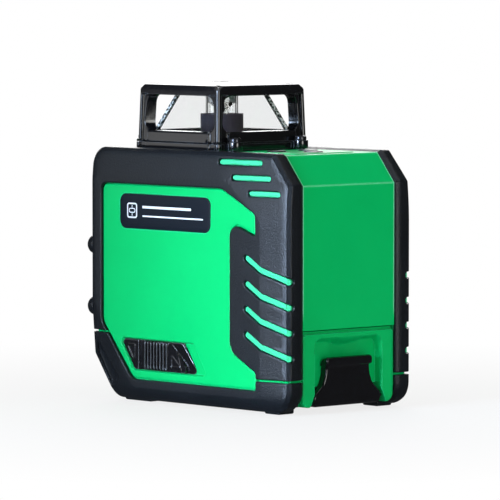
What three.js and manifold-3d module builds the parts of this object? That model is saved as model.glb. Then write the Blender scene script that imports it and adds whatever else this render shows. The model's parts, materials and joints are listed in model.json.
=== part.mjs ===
// Compact self-levelling line laser with a 360-degree lantern on top, as an assembly of separate parts.
// Millimetres, +Z up. -Y is the front, where the vertical line leaves. +Y is the battery end.
// +X is the side with the label and the pendulum lock. The origin is the centre of the base.
import * as THREE from 'three';
import { mergeVertices } from 'three/addons/utils/BufferGeometryUtils.js';
import Module from 'manifold-3d';

const wasm = await Module();
wasm.setup();

// ---------------------------------------------------------------- driving dimensions
const BODY_LENGTH = 114.4;
const BODY_WIDTH = 70;
const BODY_HEIGHT = 101;
const TOTAL_HEIGHT = 127;
const NUB_RADIUS = 4; // round rubber nubs stand out of the front by this much
const FEET = 0.8; // the rubber feet stand below the rest of the base by this much

const HALF_LENGTH = BODY_LENGTH / 2;
const HALF_WIDTH = BODY_WIDTH / 2;
const CENTRE_HALF = 24.6; // half width of the middle casing, between the two side covers
const COVER_EDGE = CENTRE_HALF + 0.2; // where a side cover meets the middle casing
const JACKET = 2; // thickness of the rubber jackets
const WALL = 2.2; // thickness of the plastic casing
const GAP = 0.25; // running and assembly gap between separate pieces
const RECESS = 1.1; // the middle casing lies this far inside the rubber

const COVER_FACE = HALF_WIDTH - JACKET; // outer face of a side cover, under its jacket
const PANEL_FACE = HALF_WIDTH - 0.8; // face of the raised green panel
const REAR = HALF_LENGTH - RECESS;
const TOP = BODY_HEIGHT - 0.8;
const BASE = 2.6; // underside of the base plate and of the battery door
const DOOR_TOP = 32.2;
const HEAD_Y = -17.2; // axis of the lantern, the pendulum and the tripod thread

// side outline of the whole body, as corners [y, z, corner radius], anticlockwise
const SIDE = [
  [-45.4, FEET, 5], [HALF_LENGTH, FEET, 6], [HALF_LENGTH, 89, 1.6], [47, BODY_HEIGHT, 1.6],
  [-HALF_LENGTH, BODY_HEIGHT, 7], [-HALF_LENGTH, 17.6, 3],
];
// outline of the raised green panel in each side
const PANEL = [
  [-32.5, 9.1, 5], [40.1, 9.1, 1.2], [40.1, 15.9, 2], [25.2, 23.9, 7], [25.2, 74, 4], [39.8, 68.9, 0.4],
  [39.8, 77.4, 2.5], [20.6, 86.75, 10], [-50.9, 86.75, 3], [-50.9, 31.2, 6],
];
const FRONT_SEAM = [26.7, 27.5]; // gap between upper and lower jacket at the front
const REAR_SEAM = [12.8, 13.7]; // and at the rear

const LEVEL_ANGLE = 3.5; // self-levelling range, degrees each way
const LOCK_TRAVEL = 6;
const PAD_LIFT = 1.9;

// ---------------------------------------------------------------- materials
const finish = (color, roughness, metalness = 0, extra = {}) =>
  new THREE.MeshStandardMaterial({ color, roughness, metalness, ...extra });
const GREEN = finish(0x00b060, 0.35);
const RUBBER = finish(0x24272d, 0.8);
const BLACK = finish(0x111318, 0.25);
const GLASS = finish(0xe6f4f2, 0.05, 0, { transparent: true, opacity: 0.35 });
const STEEL = finish(0xa8abb0, 0.35, 1);
const BRASS = finish(0xb98d3e, 0.35, 1);
const COPPER = finish(0xb8653a, 0.4, 1);
const ZINC = finish(0x8d9196, 0.5, 1);
const BOARD = finish(0x1c5a38, 0.6);
const GREY = finish(0x4a4e55, 0.6);
const CELL = finish(0x2f3b6b, 0.4, 0.4);
const LED = finish(0xd8ffe6, 0.2);

// ---------------------------------------------------------------- geometry helpers
// corners [u, v, radius] -> points of the outline with its corners rounded
function rounded(corners, steps = 4) {
  const points = [];
  corners.forEach(([u, v, radius = 0], i) => {
    const here = new THREE.Vector2(u, v);
    const before = new THREE.Vector2(...corners.at(i - 1)).sub(here).normalize();
    const after = new THREE.Vector2(...corners[(i + 1) % corners.length]).sub(here).normalize();
    const half = Math.acos(THREE.MathUtils.clamp(before.dot(after), -1, 1)) / 2;
    if (radius < 0.05) {
      points.push(here);
      return;
    }
    const centre = before.clone().add(after).normalize().multiplyScalar(radius / Math.sin(half)).add(here);
    const reach = radius / Math.tan(half);
    const start = before.clone().multiplyScalar(reach).add(here).sub(centre);
    const end = after.clone().multiplyScalar(reach).add(here).sub(centre);
    let turn = end.angle() - start.angle();
    if (turn > Math.PI) turn -= 2 * Math.PI;
    if (turn < -Math.PI) turn += 2 * Math.PI;
    for (let k = 0; k <= steps; k++) {
      points.push(start.clone().rotateAround(new THREE.Vector2(), (turn * k) / steps).add(centre));
    }
  });
  return points;
}

// corners of an anticlockwise outline moved inwards by d, with corner radii to suit
function inset(corners, d) {
  return corners.map(([u, v, radius = 0], i) => {
    const here = new THREE.Vector2(u, v);
    const before = here.clone().sub(new THREE.Vector2(...corners.at(i - 1))).normalize();
    const after = new THREE.Vector2(...corners[(i + 1) % corners.length]).sub(here).normalize();
    const normal = new THREE.Vector2(-before.y - after.y, before.x + after.x).normalize();
    const reach = d / (-normal.x * before.y + normal.y * before.x);
    const convex = before.cross(after) > 0;
    return [u + normal.x * reach, v + normal.y * reach, Math.max(0, radius + (convex ? -d : d))];
  });
}

const rect = (u0, u1, v0, v1, r = 0) => [[u0, v0, r], [u1, v0, r], [u1, v1, r], [u0, v1, r]];

// an outline pushed along w from w0 to w1. bevel is [depth, size], taken off both ends
function prism(points, w0, w1, bevel = [0, 0]) {
  const [depth, size] = bevel;
  const geometry = new THREE.ExtrudeGeometry(new THREE.Shape(points), {
    depth: w1 - w0 - 2 * depth, steps: 1, bevelEnabled: depth > 0,
    bevelThickness: depth, bevelSize: size, bevelOffset: -size, bevelSegments: 1,
  });
  return geometry.translate(0, 0, w0 + depth);
}
// outline in (y, z) pushed along x; outline in (x, z) pushed along y; outline in (x, y) pushed along z
const alongX = (points, x0, x1, bevel) =>
  prism(points, x0, x1, bevel).applyMatrix4(new THREE.Matrix4().set(0, 0, 1, 0, 1, 0, 0, 0, 0, 1, 0, 0, 0, 0, 0, 1));
const alongY = (points, y0, y1, bevel) =>
  prism(points, -y1, -y0, bevel).applyMatrix4(new THREE.Matrix4().set(1, 0, 0, 0, 0, 0, -1, 0, 0, 1, 0, 0, 0, 0, 0, 1));
const alongZ = prism;

const box = (x0, x1, y0, y1, z0, z1) =>
  new THREE.BoxGeometry(x1 - x0, y1 - y0, z1 - z0).translate((x0 + x1) / 2, (y0 + y1) / 2, (z0 + z1) / 2);
const cylinder = (radius, length, sides, radiusTop = radius) =>
  new THREE.CylinderGeometry(radiusTop, radius, length, sides);
const rodX = (r, x0, x1, y, z, sides = 16) =>
  cylinder(r, x1 - x0, sides).rotateZ(-Math.PI / 2).translate((x0 + x1) / 2, y, z);
const rodY = (r, x, y0, y1, z, sides = 16) => cylinder(r, y1 - y0, sides).translate(x, (y0 + y1) / 2, z);
const rodZ = (r, x, y, z0, z1, sides = 16, rTop = r) =>
  cylinder(r, z1 - z0, sides, rTop).rotateX(Math.PI / 2).translate(x, y, (z0 + z1) / 2);
// a rod from one point to another
function strut(r, from, to, sides = 10) {
  const a = new THREE.Vector3(...from);
  const b = new THREE.Vector3(...to);
  const turn = new THREE.Quaternion().setFromUnitVectors(new THREE.Vector3(0, 1, 0), b.clone().sub(a).normalize());
  const middle = a.clone().add(b).multiplyScalar(0.5);
  return cylinder(r, a.distanceTo(b), sides).applyQuaternion(turn).translate(...middle.toArray());
}
const turned = (profile, x, y, sides = 24) =>
  new THREE.LatheGeometry(profile.map((p) => new THREE.Vector2(...p)), sides)
    .rotateX(Math.PI / 2).translate(x, y, 0);

function solid(geometry) {
  const plain = geometry.clone();
  plain.deleteAttribute('normal');
  plain.deleteAttribute('uv');
  const merged = mergeVertices(plain, 1e-4);
  return new wasm.Manifold(new wasm.Mesh({
    numProp: 3,
    vertProperties: merged.attributes.position.array,
    triVerts: new Uint32Array(merged.index.array),
  }));
}
const join = (first, ...others) => others.reduce((sum, g) => sum.add(g.add ? g : solid(g)), asSolid(first));
const cut = (first, ...others) => others.reduce((left, g) => left.subtract(asSolid(g)), asSolid(first));
const common = (first, second) => asSolid(first).intersect(asSolid(second));
function asSolid(g) {
  return g.isBufferGeometry ? solid(g) : g;
}
function geometryOf(shape) {
  if (shape.isBufferGeometry) return shape;
  const { vertProperties, triVerts } = shape.getMesh();
  const geometry = new THREE.BufferGeometry();
  geometry.setAttribute('position', new THREE.BufferAttribute(new Float32Array(vertProperties), 3));
  geometry.setIndex(new THREE.BufferAttribute(new Uint32Array(triVerts), 1));
  geometry.computeVertexNormals();
  return geometry;
}

// ---------------------------------------------------------------- assembly
const laser = new THREE.Group();
laser.position.y = NUB_RADIUS / 2; // the nubs stand out of the front, so the casing sits that far back
function place(name, shape, material, mirrored = false) {
  const mesh = new THREE.Mesh(geometryOf(shape), material);
  mesh.name = name;
  if (mirrored) mesh.scale.x = -1;
  laser.add(mesh);
}

// ---------------------------------------------------------------- middle casing, base and front window
const PIVOT = { y: REAR - 1.9, z: DOOR_TOP - 1.9, pin: 0.75 }; // battery door hinge
const KEYS = { y0: 14, y1: 43, half: 17, radius: 4.2 };
const BUTTONS = [['button_horizontal', 8.5, 24], ['button_vertical', -8.5, 24], ['button_pulse', 0, 36]];
const LED_SPOT = [0, 17.6];
const BOARD_POSTS = [[-17, 16], [17, 16], [-17, 41], [17, 41]];
const BOARD_TOP = 95;
const WINDOW = { half: 10, z0: 40, z1: 84 };
const BASE_FRONT = -40;

function middleCasing() {
  const outer = inset(SIDE, RECESS).map(([y, z, r]) => [y, z > TOP - 1 ? TOP : z < 3 ? BASE : z, r]);
  let shell = cut(
    alongX(rounded(outer), -CENTRE_HALF, CENTRE_HALF),
    alongX(rounded(inset(outer, WALL)), -CENTRE_HALF - 1, CENTRE_HALF + 1),
    box(-40, 40, REAR - 12, REAR + 5, -5, DOOR_TOP + 0.4), // battery door opening
    box(-40, 40, BASE_FRONT, REAR + 5, -5, BASE + WALL + 6), // base plate opening
    rodZ(12, 0, HEAD_Y, TOP - 5, TOP + 5, 24),
    alongZ(rounded(rect(-KEYS.half, KEYS.half, KEYS.y0, KEYS.y1, 3)), TOP - 0.8, TOP + 1),
    alongY(rounded(rect(-WINDOW.half, WINDOW.half, WINDOW.z0, WINDOW.z1, 3)), -HALF_LENGTH - 1, -HALF_LENGTH + 6),
    rodZ(1.7, ...LED_SPOT, TOP - 5, TOP + 5, 10),
  );
  for (const [, x, y] of BUTTONS) shell = cut(shell, rodZ(KEYS.radius + 0.3, x, y, TOP - 5, TOP + 5));
  for (const [x, y] of BOARD_POSTS) {
    shell = join(shell, rodZ(2.2, x, y, BOARD_TOP + 0.1, TOP - WALL + 0.5, 10));
    shell = join(shell, rodZ(1, x, y, BOARD_TOP - 2.6, BOARD_TOP + 1, 8)); // pin that is melted over the board
  }
  return shell;
}
place('middle_casing', middleCasing(), GREEN);

const TRIPOD = { thread: 3.175, outer: 5.5, pad: 18, face: 0.4, top: 8.4 };
const BASE_SCREWS = [[-19.5, -33], [19.5, -33], [-19.5, -7.5], [19.5, -7.5]];
const YOKE_POSTS = [[-10.5, -10.5], [10.5, -10.5], [-10.5, 10.5], [10.5, 10.5]];
const YOKE = { z0: 22, z1: 23.5, radius: 13.8 };
const BASE_REAR = 50.4;

function basePlate() {
  let plate = join(
    alongZ(rounded(rect(-CENTRE_HALF + 0.2, CENTRE_HALF - 0.2, BASE_FRONT + 0.3, BASE_REAR, 1)), BASE, BASE + WALL),
    rodZ(TRIPOD.pad, 0, HEAD_Y, TRIPOD.face, BASE + 1, 32),
    rodZ(TRIPOD.outer + 2, 0, HEAD_Y, BASE, TRIPOD.top, 24),
  );
  for (const [x, y] of YOKE_POSTS) plate = join(plate, rodZ(2.5, x, HEAD_Y + y, BASE + 1, YOKE.z0 - 0.1, 10));
  for (const [x, y] of BASE_SCREWS) {
    plate = join(plate, rodZ(4.2, x, y, BASE + 1, BASE + 4, 12));
    plate = cut(plate, rodZ(3, x, y, BASE - 1, BASE + 1.9, 12), rodZ(1.5, x, y, BASE, BASE + 6, 8));
  }
  return cut(plate, rodZ(TRIPOD.outer + 0.2, 0, HEAD_Y, -1, TRIPOD.top - 1.2, 24));
}
place('base_plate', basePlate(), RUBBER);
place('tripod_insert', cut(
  join(
    rodZ(TRIPOD.outer, 0, HEAD_Y, TRIPOD.face, TRIPOD.face + 1.2, 24),
    rodZ(TRIPOD.outer - 0.5, 0, HEAD_Y, TRIPOD.face + 1, TRIPOD.top - 1.3, 24),
  ),
  rodZ(TRIPOD.thread, 0, HEAD_Y, -1, TRIPOD.top, 20),
), BRASS);
BASE_SCREWS.forEach(([x, y], i) => place(`base_screw_${i + 1}`, join(
  rodZ(2.6, x, y, BASE + 0.3, BASE + 1.8, 12),
  rodZ(1.2, x, y, BASE + 1.5, BASE + 5.6, 8),
), STEEL));

const windowOutline = (half, z0, z1, r) => rounded(rect(-half, half, z0, z1, r));
place('front_bezel', cut(
  join(
    alongY(windowOutline(WINDOW.half + 2.6, WINDOW.z0 - 2.6, WINDOW.z1 + 2.6, 4), -REAR - 1, -REAR - 0.1),
    alongY(windowOutline(WINDOW.half - 0.2, WINDOW.z0 + 0.2, WINDOW.z1 - 0.2, 3), -REAR - 0.5, -REAR + WALL),
  ),
  alongY(windowOutline(WINDOW.half - 1.6, WINDOW.z0 + 1.6, WINDOW.z1 - 1.6, 2), -REAR - 2, -REAR + WALL + 1),
  alongY(windowOutline(WINDOW.half - 0.9, WINDOW.z0 + 0.9, WINDOW.z1 - 0.9, 2.4), -REAR + 0.9, -REAR + WALL + 1),
), BLACK);
place('front_window', alongY(
  windowOutline(WINDOW.half - 1.1, WINDOW.z0 + 1.1, WINDOW.z1 - 1.1, 2.2), -REAR + 1, -REAR + 2.1,
), GLASS);

// ---------------------------------------------------------------- side covers, jackets, label
const SLOT_WIDTH = 2.1;
const GRIP_SLOTS = [60.9, 50.9, 41.1, 31.2]; // height of each grip slot's front end
const VENT_SLOTS = [[20.4, 43.2, 97.4], [28.4, 48.4, 91.5], [37.6, 53.6, 85.6]]; // [y0, y1, z]
const CREASE_Y = 42.7; // behind this line the side leans inwards to the rear corner
const CORNER_X = 33.7;
const SLIDER = { y0: -39.2, y1: -3, z0: 12.9, z1: 25, slant: 8.2 };
const LOCK_Y = -20.2; // where the lock's arm passes through the side cover
const NUBS = [36.8, 61.5];
const FEET_Y = [[-44, -27], [45.2, 53.5]];
const FOOT_X = 23.2;

// a slot of round-ended width along a chain of points, cut through the jacket
function slotCutter(points, x0, x1) {
  const half = SLOT_WIDTH / 2;
  let cutter = null;
  points.forEach(([y, z], i) => {
    const disc = rodX(half, x0, x1, y, z, 12);
    cutter = cutter ? join(cutter, disc) : asSolid(disc);
    if (!i) return;
    const [py, pz] = points[i - 1];
    const along = new THREE.Vector2(y - py, z - pz).normalize().multiplyScalar(half);
    cutter = join(cutter, alongX([
      [py + along.y, pz - along.x], [y + along.y, z - along.x], [y - along.y, z + along.x], [py - along.y, pz + along.x],
    ].map((p) => new THREE.Vector2(...p)), x0, x1));
  });
  return cutter;
}

const sliderRecess = (grow, travel) => rounded([
  [SLIDER.y0 - grow, SLIDER.z1 + grow, 1.6], [SLIDER.y0 + SLIDER.slant - grow, SLIDER.z0 - grow, 1.6],
  [SLIDER.y1 + SLIDER.slant + grow + travel, SLIDER.z0 - grow, 1.2], [SLIDER.y1 + grow + travel, SLIDER.z1 + grow, 1.2],
], 3);
const LABEL = rect(-39.5, 12.8, 69.6, 82.9, 3.4);
const BOARD_X = 25.6; // driver board, held on posts inside the left side cover
const DRIVER_POSTS = [[-38, 44], [22, 44], [-38, 84], [22, 84]];

function sideCover(hasLock) {
  let cover = join(
    cut(
      alongX(rounded(inset(SIDE, JACKET)), COVER_EDGE, COVER_FACE),
      alongX(rounded(inset(SIDE, JACKET + WALL)), COVER_EDGE - 1, COVER_FACE - WALL),
    ),
    alongX(rounded(inset(PANEL, GAP), 3), COVER_FACE - 1, PANEL_FACE),
  );
  // the corner behind the crease leans inwards, as the jacket over it does
  cover = cut(cover, alongZ([
    [COVER_FACE + 0.01, CREASE_Y], [COVER_FACE + 3, CREASE_Y], [COVER_FACE + 3, HALF_LENGTH],
    [COVER_FACE - 3, HALF_LENGTH], [COVER_FACE - 1.9, HALF_LENGTH - JACKET + 0.1], [CORNER_X - JACKET, HALF_LENGTH - JACKET - 1.6],
  ].map((p) => new THREE.Vector2(...p)), -5, BODY_HEIGHT + 5));
  cover = cut(cover, rodX(1.15, COVER_EDGE - 1, COVER_EDGE + 3, PIVOT.y, PIVOT.z, 10));
  // bosses reach inwards over the base plate for its screws
  for (const [x, y] of BASE_SCREWS.filter(([x]) => x > 0)) {
    cover = join(
      cover,
      box(x - 3, COVER_EDGE + 3, y - 3, y + 3, BASE + 4.3, BASE + 9),
      box(COVER_EDGE, COVER_EDGE + 3, y - 3, y + 3, BASE + 1, BASE + 9),
    );
    cover = cut(cover, rodZ(1.5, x, y, BASE + 3, BASE + 7, 8));
  }
  if (!hasLock) {
    for (const [y, z] of DRIVER_POSTS) cover = join(cover, rodX(2.2, BOARD_X + 0.1, COVER_FACE - 1, y, z, 8));
    return cover;
  }
  return cut(
    cover,
    alongX(sliderRecess(GAP, LOCK_TRAVEL), PANEL_FACE - 1.8, PANEL_FACE + 1),
    alongX(rounded(rect(LOCK_Y - 2.6, LOCK_Y + 2.6 + LOCK_TRAVEL, 16.8, 21.2, 0)), COVER_FACE - WALL - 1, PANEL_FACE),
    alongX(rounded(inset(LABEL, -0.2)), PANEL_FACE - 0.3, PANEL_FACE + 1),
  );
}

function jackets() {
  const topView = [
    [COVER_EDGE, -HALF_LENGTH], [HALF_WIDTH, -HALF_LENGTH], [HALF_WIDTH, CREASE_Y], [CORNER_X, HALF_LENGTH - 1.6],
    [CORNER_X - 2, HALF_LENGTH], [COVER_EDGE, HALF_LENGTH],
  ].map((p) => new THREE.Vector2(...p));
  const inner = [
    [COVER_EDGE - 1, -HALF_LENGTH - 1], [COVER_FACE + GAP, -HALF_LENGTH - 1], [COVER_FACE + GAP, CREASE_Y],
    [CORNER_X - JACKET + GAP, HALF_LENGTH - JACKET - 1.5], [COVER_FACE - 1.8, HALF_LENGTH - JACKET + GAP + 0.1],
    [COVER_FACE - 1.8, HALF_LENGTH + 1], [COVER_EDGE - 1, HALF_LENGTH + 1],
  ].map((p) => new THREE.Vector2(...p));
  let ring = common(
    alongX(rounded(SIDE), COVER_EDGE - 3, HALF_WIDTH, [1.2, 1.2]),
    alongZ(topView, -5, BODY_HEIGHT + 5),
  );
  for (const z of NUBS) {
    const nub = new THREE.SphereGeometry(NUB_RADIUS, 12, 8).translate(31, -HALF_LENGTH, z);
    ring = join(ring, nub);
  }
  ring = cut(
    ring,
    common(alongX(rounded(inset(SIDE, JACKET - GAP)), COVER_EDGE - 1, COVER_FACE + GAP), alongZ(inner, -9, 120)),
    alongX(rounded(PANEL, 3), COVER_FACE - 2, HALF_WIDTH + 1),
  );
  const lowerRegion = [[-70, -9], [70, -9], [70, REAR_SEAM[0]], [20, REAR_SEAM[0]], [-45.5, FRONT_SEAM[0]], [-70, FRONT_SEAM[0]]];
  const upperRegion = [[70, REAR_SEAM[1]], [70, 120], [-70, 120], [-70, FRONT_SEAM[1]], [-45.5, FRONT_SEAM[1]], [20, REAR_SEAM[1]]];
  const region = (points) => alongX(points.map((p) => new THREE.Vector2(...p)), 0, 50);
  let lower = common(ring, region(lowerRegion));
  for (const [y0, y1] of FEET_Y) {
    lower = join(lower, alongX(rounded([[y0, 0, 0.4], [y1, 0, 0.4], [y1 + 0.8, 1.9], [y0 - 0.8, 1.9]], 1), FOOT_X, HALF_WIDTH - 2.4));
  }
  let upper = common(ring, region(upperRegion));
  for (const z of GRIP_SLOTS) {
    upper = cut(upper, slotCutter([[34.4, z - 0.4], [CREASE_Y, z - 5.1], [HALF_LENGTH - 2, z - 8.8], [HALF_LENGTH + 3, z - 9]], 31.4, 40));
  }
  for (const [y0, y1, z] of VENT_SLOTS) upper = cut(upper, slotCutter([[y0, z], [y1, z]], 31.6, 40));
  return { upper, lower };
}
const jacket = jackets();
for (const [side, mirrored] of [['right', false], ['left', true]]) {
  place(`side_cover_${side}`, sideCover(!mirrored), GREEN, mirrored);
  place(`upper_jacket_${side}`, jacket.upper, RUBBER, mirrored);
  place(`lower_jacket_${side}`, jacket.lower, RUBBER, mirrored);
}
place('label_plate', alongX(rounded(LABEL), PANEL_FACE - 0.25, PANEL_FACE + 0.15), GREY);

// ---------------------------------------------------------------- lantern
const LANTERN = {
  seat: TOP + 0.6, tier: 103.4, sill: 108.4, head: 121.9, top: 126.3,
  foot: 24.6, waist: 24.1, rim: 23.4, corner: 6, window: 19.3, earX: 17.6, earY: 27.1, earRadius: 3,
};
const PANE = { z0: 107.1, z1: 122.6, bottom: 19.4, top: 12.9, thick: 1.9 };

// a square block about the lantern's axis, tapering from one half width to another
function squareTaper(half0, half1, z0, z1, stretchX = 1, stretchY = 1) {
  return rodZ(half0 * Math.SQRT2, 0, 0, z0, z1, 4, half1 * Math.SQRT2)
    .rotateZ(Math.PI / 4).scale(stretchX, stretchY, 1).translate(0, HEAD_Y, 0);
}

function lanternFrame() {
  const glassHalf = (z) => PANE.bottom + ((PANE.top - PANE.bottom) * (z - PANE.z0)) / (PANE.z1 - PANE.z0);
  const opening = rect(-LANTERN.window, LANTERN.window, LANTERN.sill, LANTERN.head, 3.4);
  // flat face panels that end short of the corners, over a core with its corners cut off
  const short = 1 - LANTERN.corner / LANTERN.waist;
  const core = common(
    squareTaper(LANTERN.waist - 0.9, LANTERN.rim - 0.9, LANTERN.seat, LANTERN.top - 0.2),
    rodZ(2 * LANTERN.waist - 4.2, 0, HEAD_Y, LANTERN.seat, LANTERN.top, 4, 2 * LANTERN.rim - 4.2),
  );
  let frame = asSolid(core);
  for (const [sx, sy] of [[1, short], [short, 1]]) {
    frame = join(
      frame,
      squareTaper(LANTERN.waist, LANTERN.rim, LANTERN.tier - 0.1, LANTERN.top, sx, sy),
      squareTaper(LANTERN.foot, LANTERN.foot, LANTERN.seat, LANTERN.tier, sx, sy),
    );
  }
  const ears = [];
  for (const sx of [-1, 1]) {
    for (const sy of [-1, 1]) {
      const x = sx * LANTERN.earX;
      const y = HEAD_Y + sy * LANTERN.earY;
      ears.push([x, y]);
      frame = join(
        frame,
        rodZ(LANTERN.earRadius, x, y, LANTERN.seat, 104.2, 14),
        box(x - 3, x + 3, Math.min(y, y - sy * 4), Math.max(y, y - sy * 4), LANTERN.seat, 104.2),
      );
    }
  }
  frame = cut(
    frame,
    squareTaper(glassHalf(PANE.z0 - 0.2) + 0.3, glassHalf(PANE.z1 + 0.2) + 0.3, PANE.z0 - 0.2, PANE.z1 + 0.2),
    squareTaper(16.8, 16.8, LANTERN.seat - 1, PANE.z0 + 1),
    squareTaper(9.5, 9.5, PANE.z1, LANTERN.top + 1),
    squareTaper(20.4, 20.4, LANTERN.top - 0.9, LANTERN.top + 1),
    alongX(rounded(opening.map(([u, v, r]) => [u + HEAD_Y, v, r]), 3), -40, 40),
    alongY(rounded(opening, 3), HEAD_Y - 40, HEAD_Y + 40),
  );
  // the openings widen outwards between the posts, and a round rib runs up each corner
  const flare = [[-LANTERN.window, 16], [LANTERN.window, 16], [LANTERN.window + 2, 25], [-LANTERN.window - 2, 25]]
    .map((p) => new THREE.Vector2(...p));
  for (let i = 0; i < 4; i++) {
    const wide = alongZ(flare, LANTERN.sill + 2, LANTERN.head - 2).rotateZ((i * Math.PI) / 2).translate(0, HEAD_Y, 0);
    frame = cut(frame, wide);
  }
  for (const sx of [-1, 1]) {
    for (const sy of [-1, 1]) {
      const low = LANTERN.waist - 2.5;
      const high = LANTERN.rim - 2.5;
      frame = join(frame, strut(
        1.6, [sx * low, HEAD_Y + sy * low, LANTERN.seat + 0.5], [sx * high, HEAD_Y + sy * high, LANTERN.top - 1],
      ));
    }
  }
  for (const [x, y] of ears) frame = cut(frame, rodZ(1.5, x, y, LANTERN.seat - 1, 110, 8));
  return { frame, ears };
}
const lantern = lanternFrame();
place('lantern_frame', lantern.frame, BLACK);
place('lantern_seal', cut(
  squareTaper(23.6, 23.6, TOP + 0.02, LANTERN.seat - 0.05),
  squareTaper(20.4, 20.4, TOP - 1, LANTERN.seat + 1),
), RUBBER);
lantern.ears.forEach(([x, y], i) => place(`lantern_screw_${i + 1}`, join(
  rodZ(2.6, x, y, 104.3, 106, 12, 2.2),
  rodZ(1.2, x, y, 101, 104.4, 8),
), STEEL));

// one sloping pane with mitred sides, facing +X, then turned to each side
function pane() {
  const edge = 0.25;
  const corners = [];
  for (const [z, half] of [[PANE.z0, PANE.bottom], [PANE.z1, PANE.top]]) {
    for (const x of [half, half - PANE.thick]) corners.push([x, -(x - edge), z], [x, x - edge, z]);
  }
  const [a, b, c, d, e, f, g, h] = corners; // outer low pair, inner low pair, outer high pair, inner high pair
  const faces = [[a, b, f, e], [c, g, h, d], [a, e, g, c], [b, d, h, f], [a, c, d, b], [e, f, h, g]];
  const position = faces.flatMap(([p, q, r, s]) => [p, q, r, p, r, s].flat());
  const geometry = new THREE.BufferGeometry();
  geometry.setAttribute('position', new THREE.Float32BufferAttribute(position, 3));
  geometry.computeVertexNormals();
  return geometry;
}
['right', 'rear', 'left', 'front'].forEach((side, i) =>
  place(`lantern_glass_${side}`, pane().rotateZ((i * Math.PI) / 2).translate(0, HEAD_Y, 0), GLASS));
place('lantern_cap', join(
  squareTaper(20.2, 20.2, LANTERN.top - 0.8, LANTERN.top + 0.1),
  squareTaper(20, 12, LANTERN.top, LANTERN.top + 0.45),
  squareTaper(12.5, 5, LANTERN.top + 0.4, TOTAL_HEIGHT),
), BLACK);

// ---------------------------------------------------------------- keypad, status light and boards
place('keypad_plate', (() => {
  let plate = asSolid(alongZ(
    rounded(rect(-KEYS.half + 0.2, KEYS.half - 0.2, KEYS.y0 + 0.2, KEYS.y1 - 0.2, 2.8)), TOP - 0.75, TOP + 0.35,
  ));
  for (const [, x, y] of BUTTONS) plate = cut(plate, rodZ(KEYS.radius + 0.3, x, y, TOP - 3, TOP + 3));
  return cut(plate, rodZ(1.7, ...LED_SPOT, TOP - 3, TOP + 3, 10));
})(), GREY);
for (const [name, x, y] of BUTTONS) {
  place(name, join(
    rodZ(KEYS.radius, x, y, TOP - 3.4, TOP + 0.4),
    rodZ(KEYS.radius - 0.5, x, y, TOP + 0.3, TOP + 0.75),
    rodZ(KEYS.radius + 1, x, y, TOP - 3.5, TOP - WALL - 0.3),
  ), RUBBER);
}
place('status_light', rodZ(1.5, ...LED_SPOT, BOARD_TOP + 0.1, TOP + 0.5, 10), LED);

function keyBoard() {
  let board = asSolid(box(-20, 20, 13.4, 43.6, BOARD_TOP - 1.6, BOARD_TOP));
  for (const [, x, y] of BUTTONS) board = join(board, box(x - 2, x + 2, y - 2, y + 2, BOARD_TOP - 0.5, BOARD_TOP + 0.7));
  board = join(board, box(-8, 6, 26, 34, BOARD_TOP - 3.2, BOARD_TOP - 1));
  for (const [x, y] of BOARD_POSTS) board = cut(board, rodZ(1.3, x, y, BOARD_TOP - 9, BOARD_TOP + 9, 8));
  return board;
}
place('key_board', keyBoard(), BOARD);
place('driver_board', join(
  box(-BOARD_X, -BOARD_X + 1.6, -42, 26, 40, 88),
  box(-BOARD_X + 1.5, -BOARD_X + 4, -36, -28, 58, 70),
  box(-BOARD_X + 1.5, -BOARD_X + 3.6, 6, 18, 48, 60),
  box(-BOARD_X + 1.5, -BOARD_X + 6, 8, 20, 70, 82),
), BOARD);

// ---------------------------------------------------------------- battery bay, door and latch
const BAY = { half: 24, z0: 5, z1: 24, y0: -2.6, y1: 50.6, wall: 1.2 };
const CELLS = { radius: 7.1, pitch: 15.4, z: 14.5, y0: 0, length: 50.2 };
place('battery_bay', cut(
  box(-BAY.half, BAY.half, BAY.y0, BAY.y1, BAY.z0, BAY.z1),
  box(-BAY.half + BAY.wall, BAY.half - BAY.wall, BAY.y0 + BAY.wall, BAY.y1 + 1, BAY.z0 + BAY.wall, BAY.z1 - BAY.wall),
), GREY);
for (const i of [-1, 0, 1]) {
  const x = i * CELLS.pitch;
  const y1 = CELLS.y0 + CELLS.length;
  const nub = i ? rodY(2.7, x, y1 - 2, y1, CELLS.z, 10) : rodY(2.7, x, CELLS.y0, CELLS.y0 + 2, CELLS.z, 10);
  const can = i ? [CELLS.y0, y1 - 1.3] : [CELLS.y0 + 1.3, y1];
  place(`battery_cell_${i + 2}`, join(rodY(CELLS.radius, x, can[0], can[1], CELLS.z, 20), nub), CELL);
}
const contact = (y0, y1) => box(-21, 21, y0, y1, 9, 20);
place('inner_contact', contact(BAY.y0 + BAY.wall + 0.1, BAY.y0 + BAY.wall + 0.9), STEEL);
place('door_contact', contact(50.65, 50.92), STEEL);

const DOOR_BACK = 51;
const POCKET = { half: 17.6, z1: 28.9, floor: 52.6, notchTop: 10.4 };
const LATCH_PIN = { y: 53.9, z: 5.4, radius: 0.8 };

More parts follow.
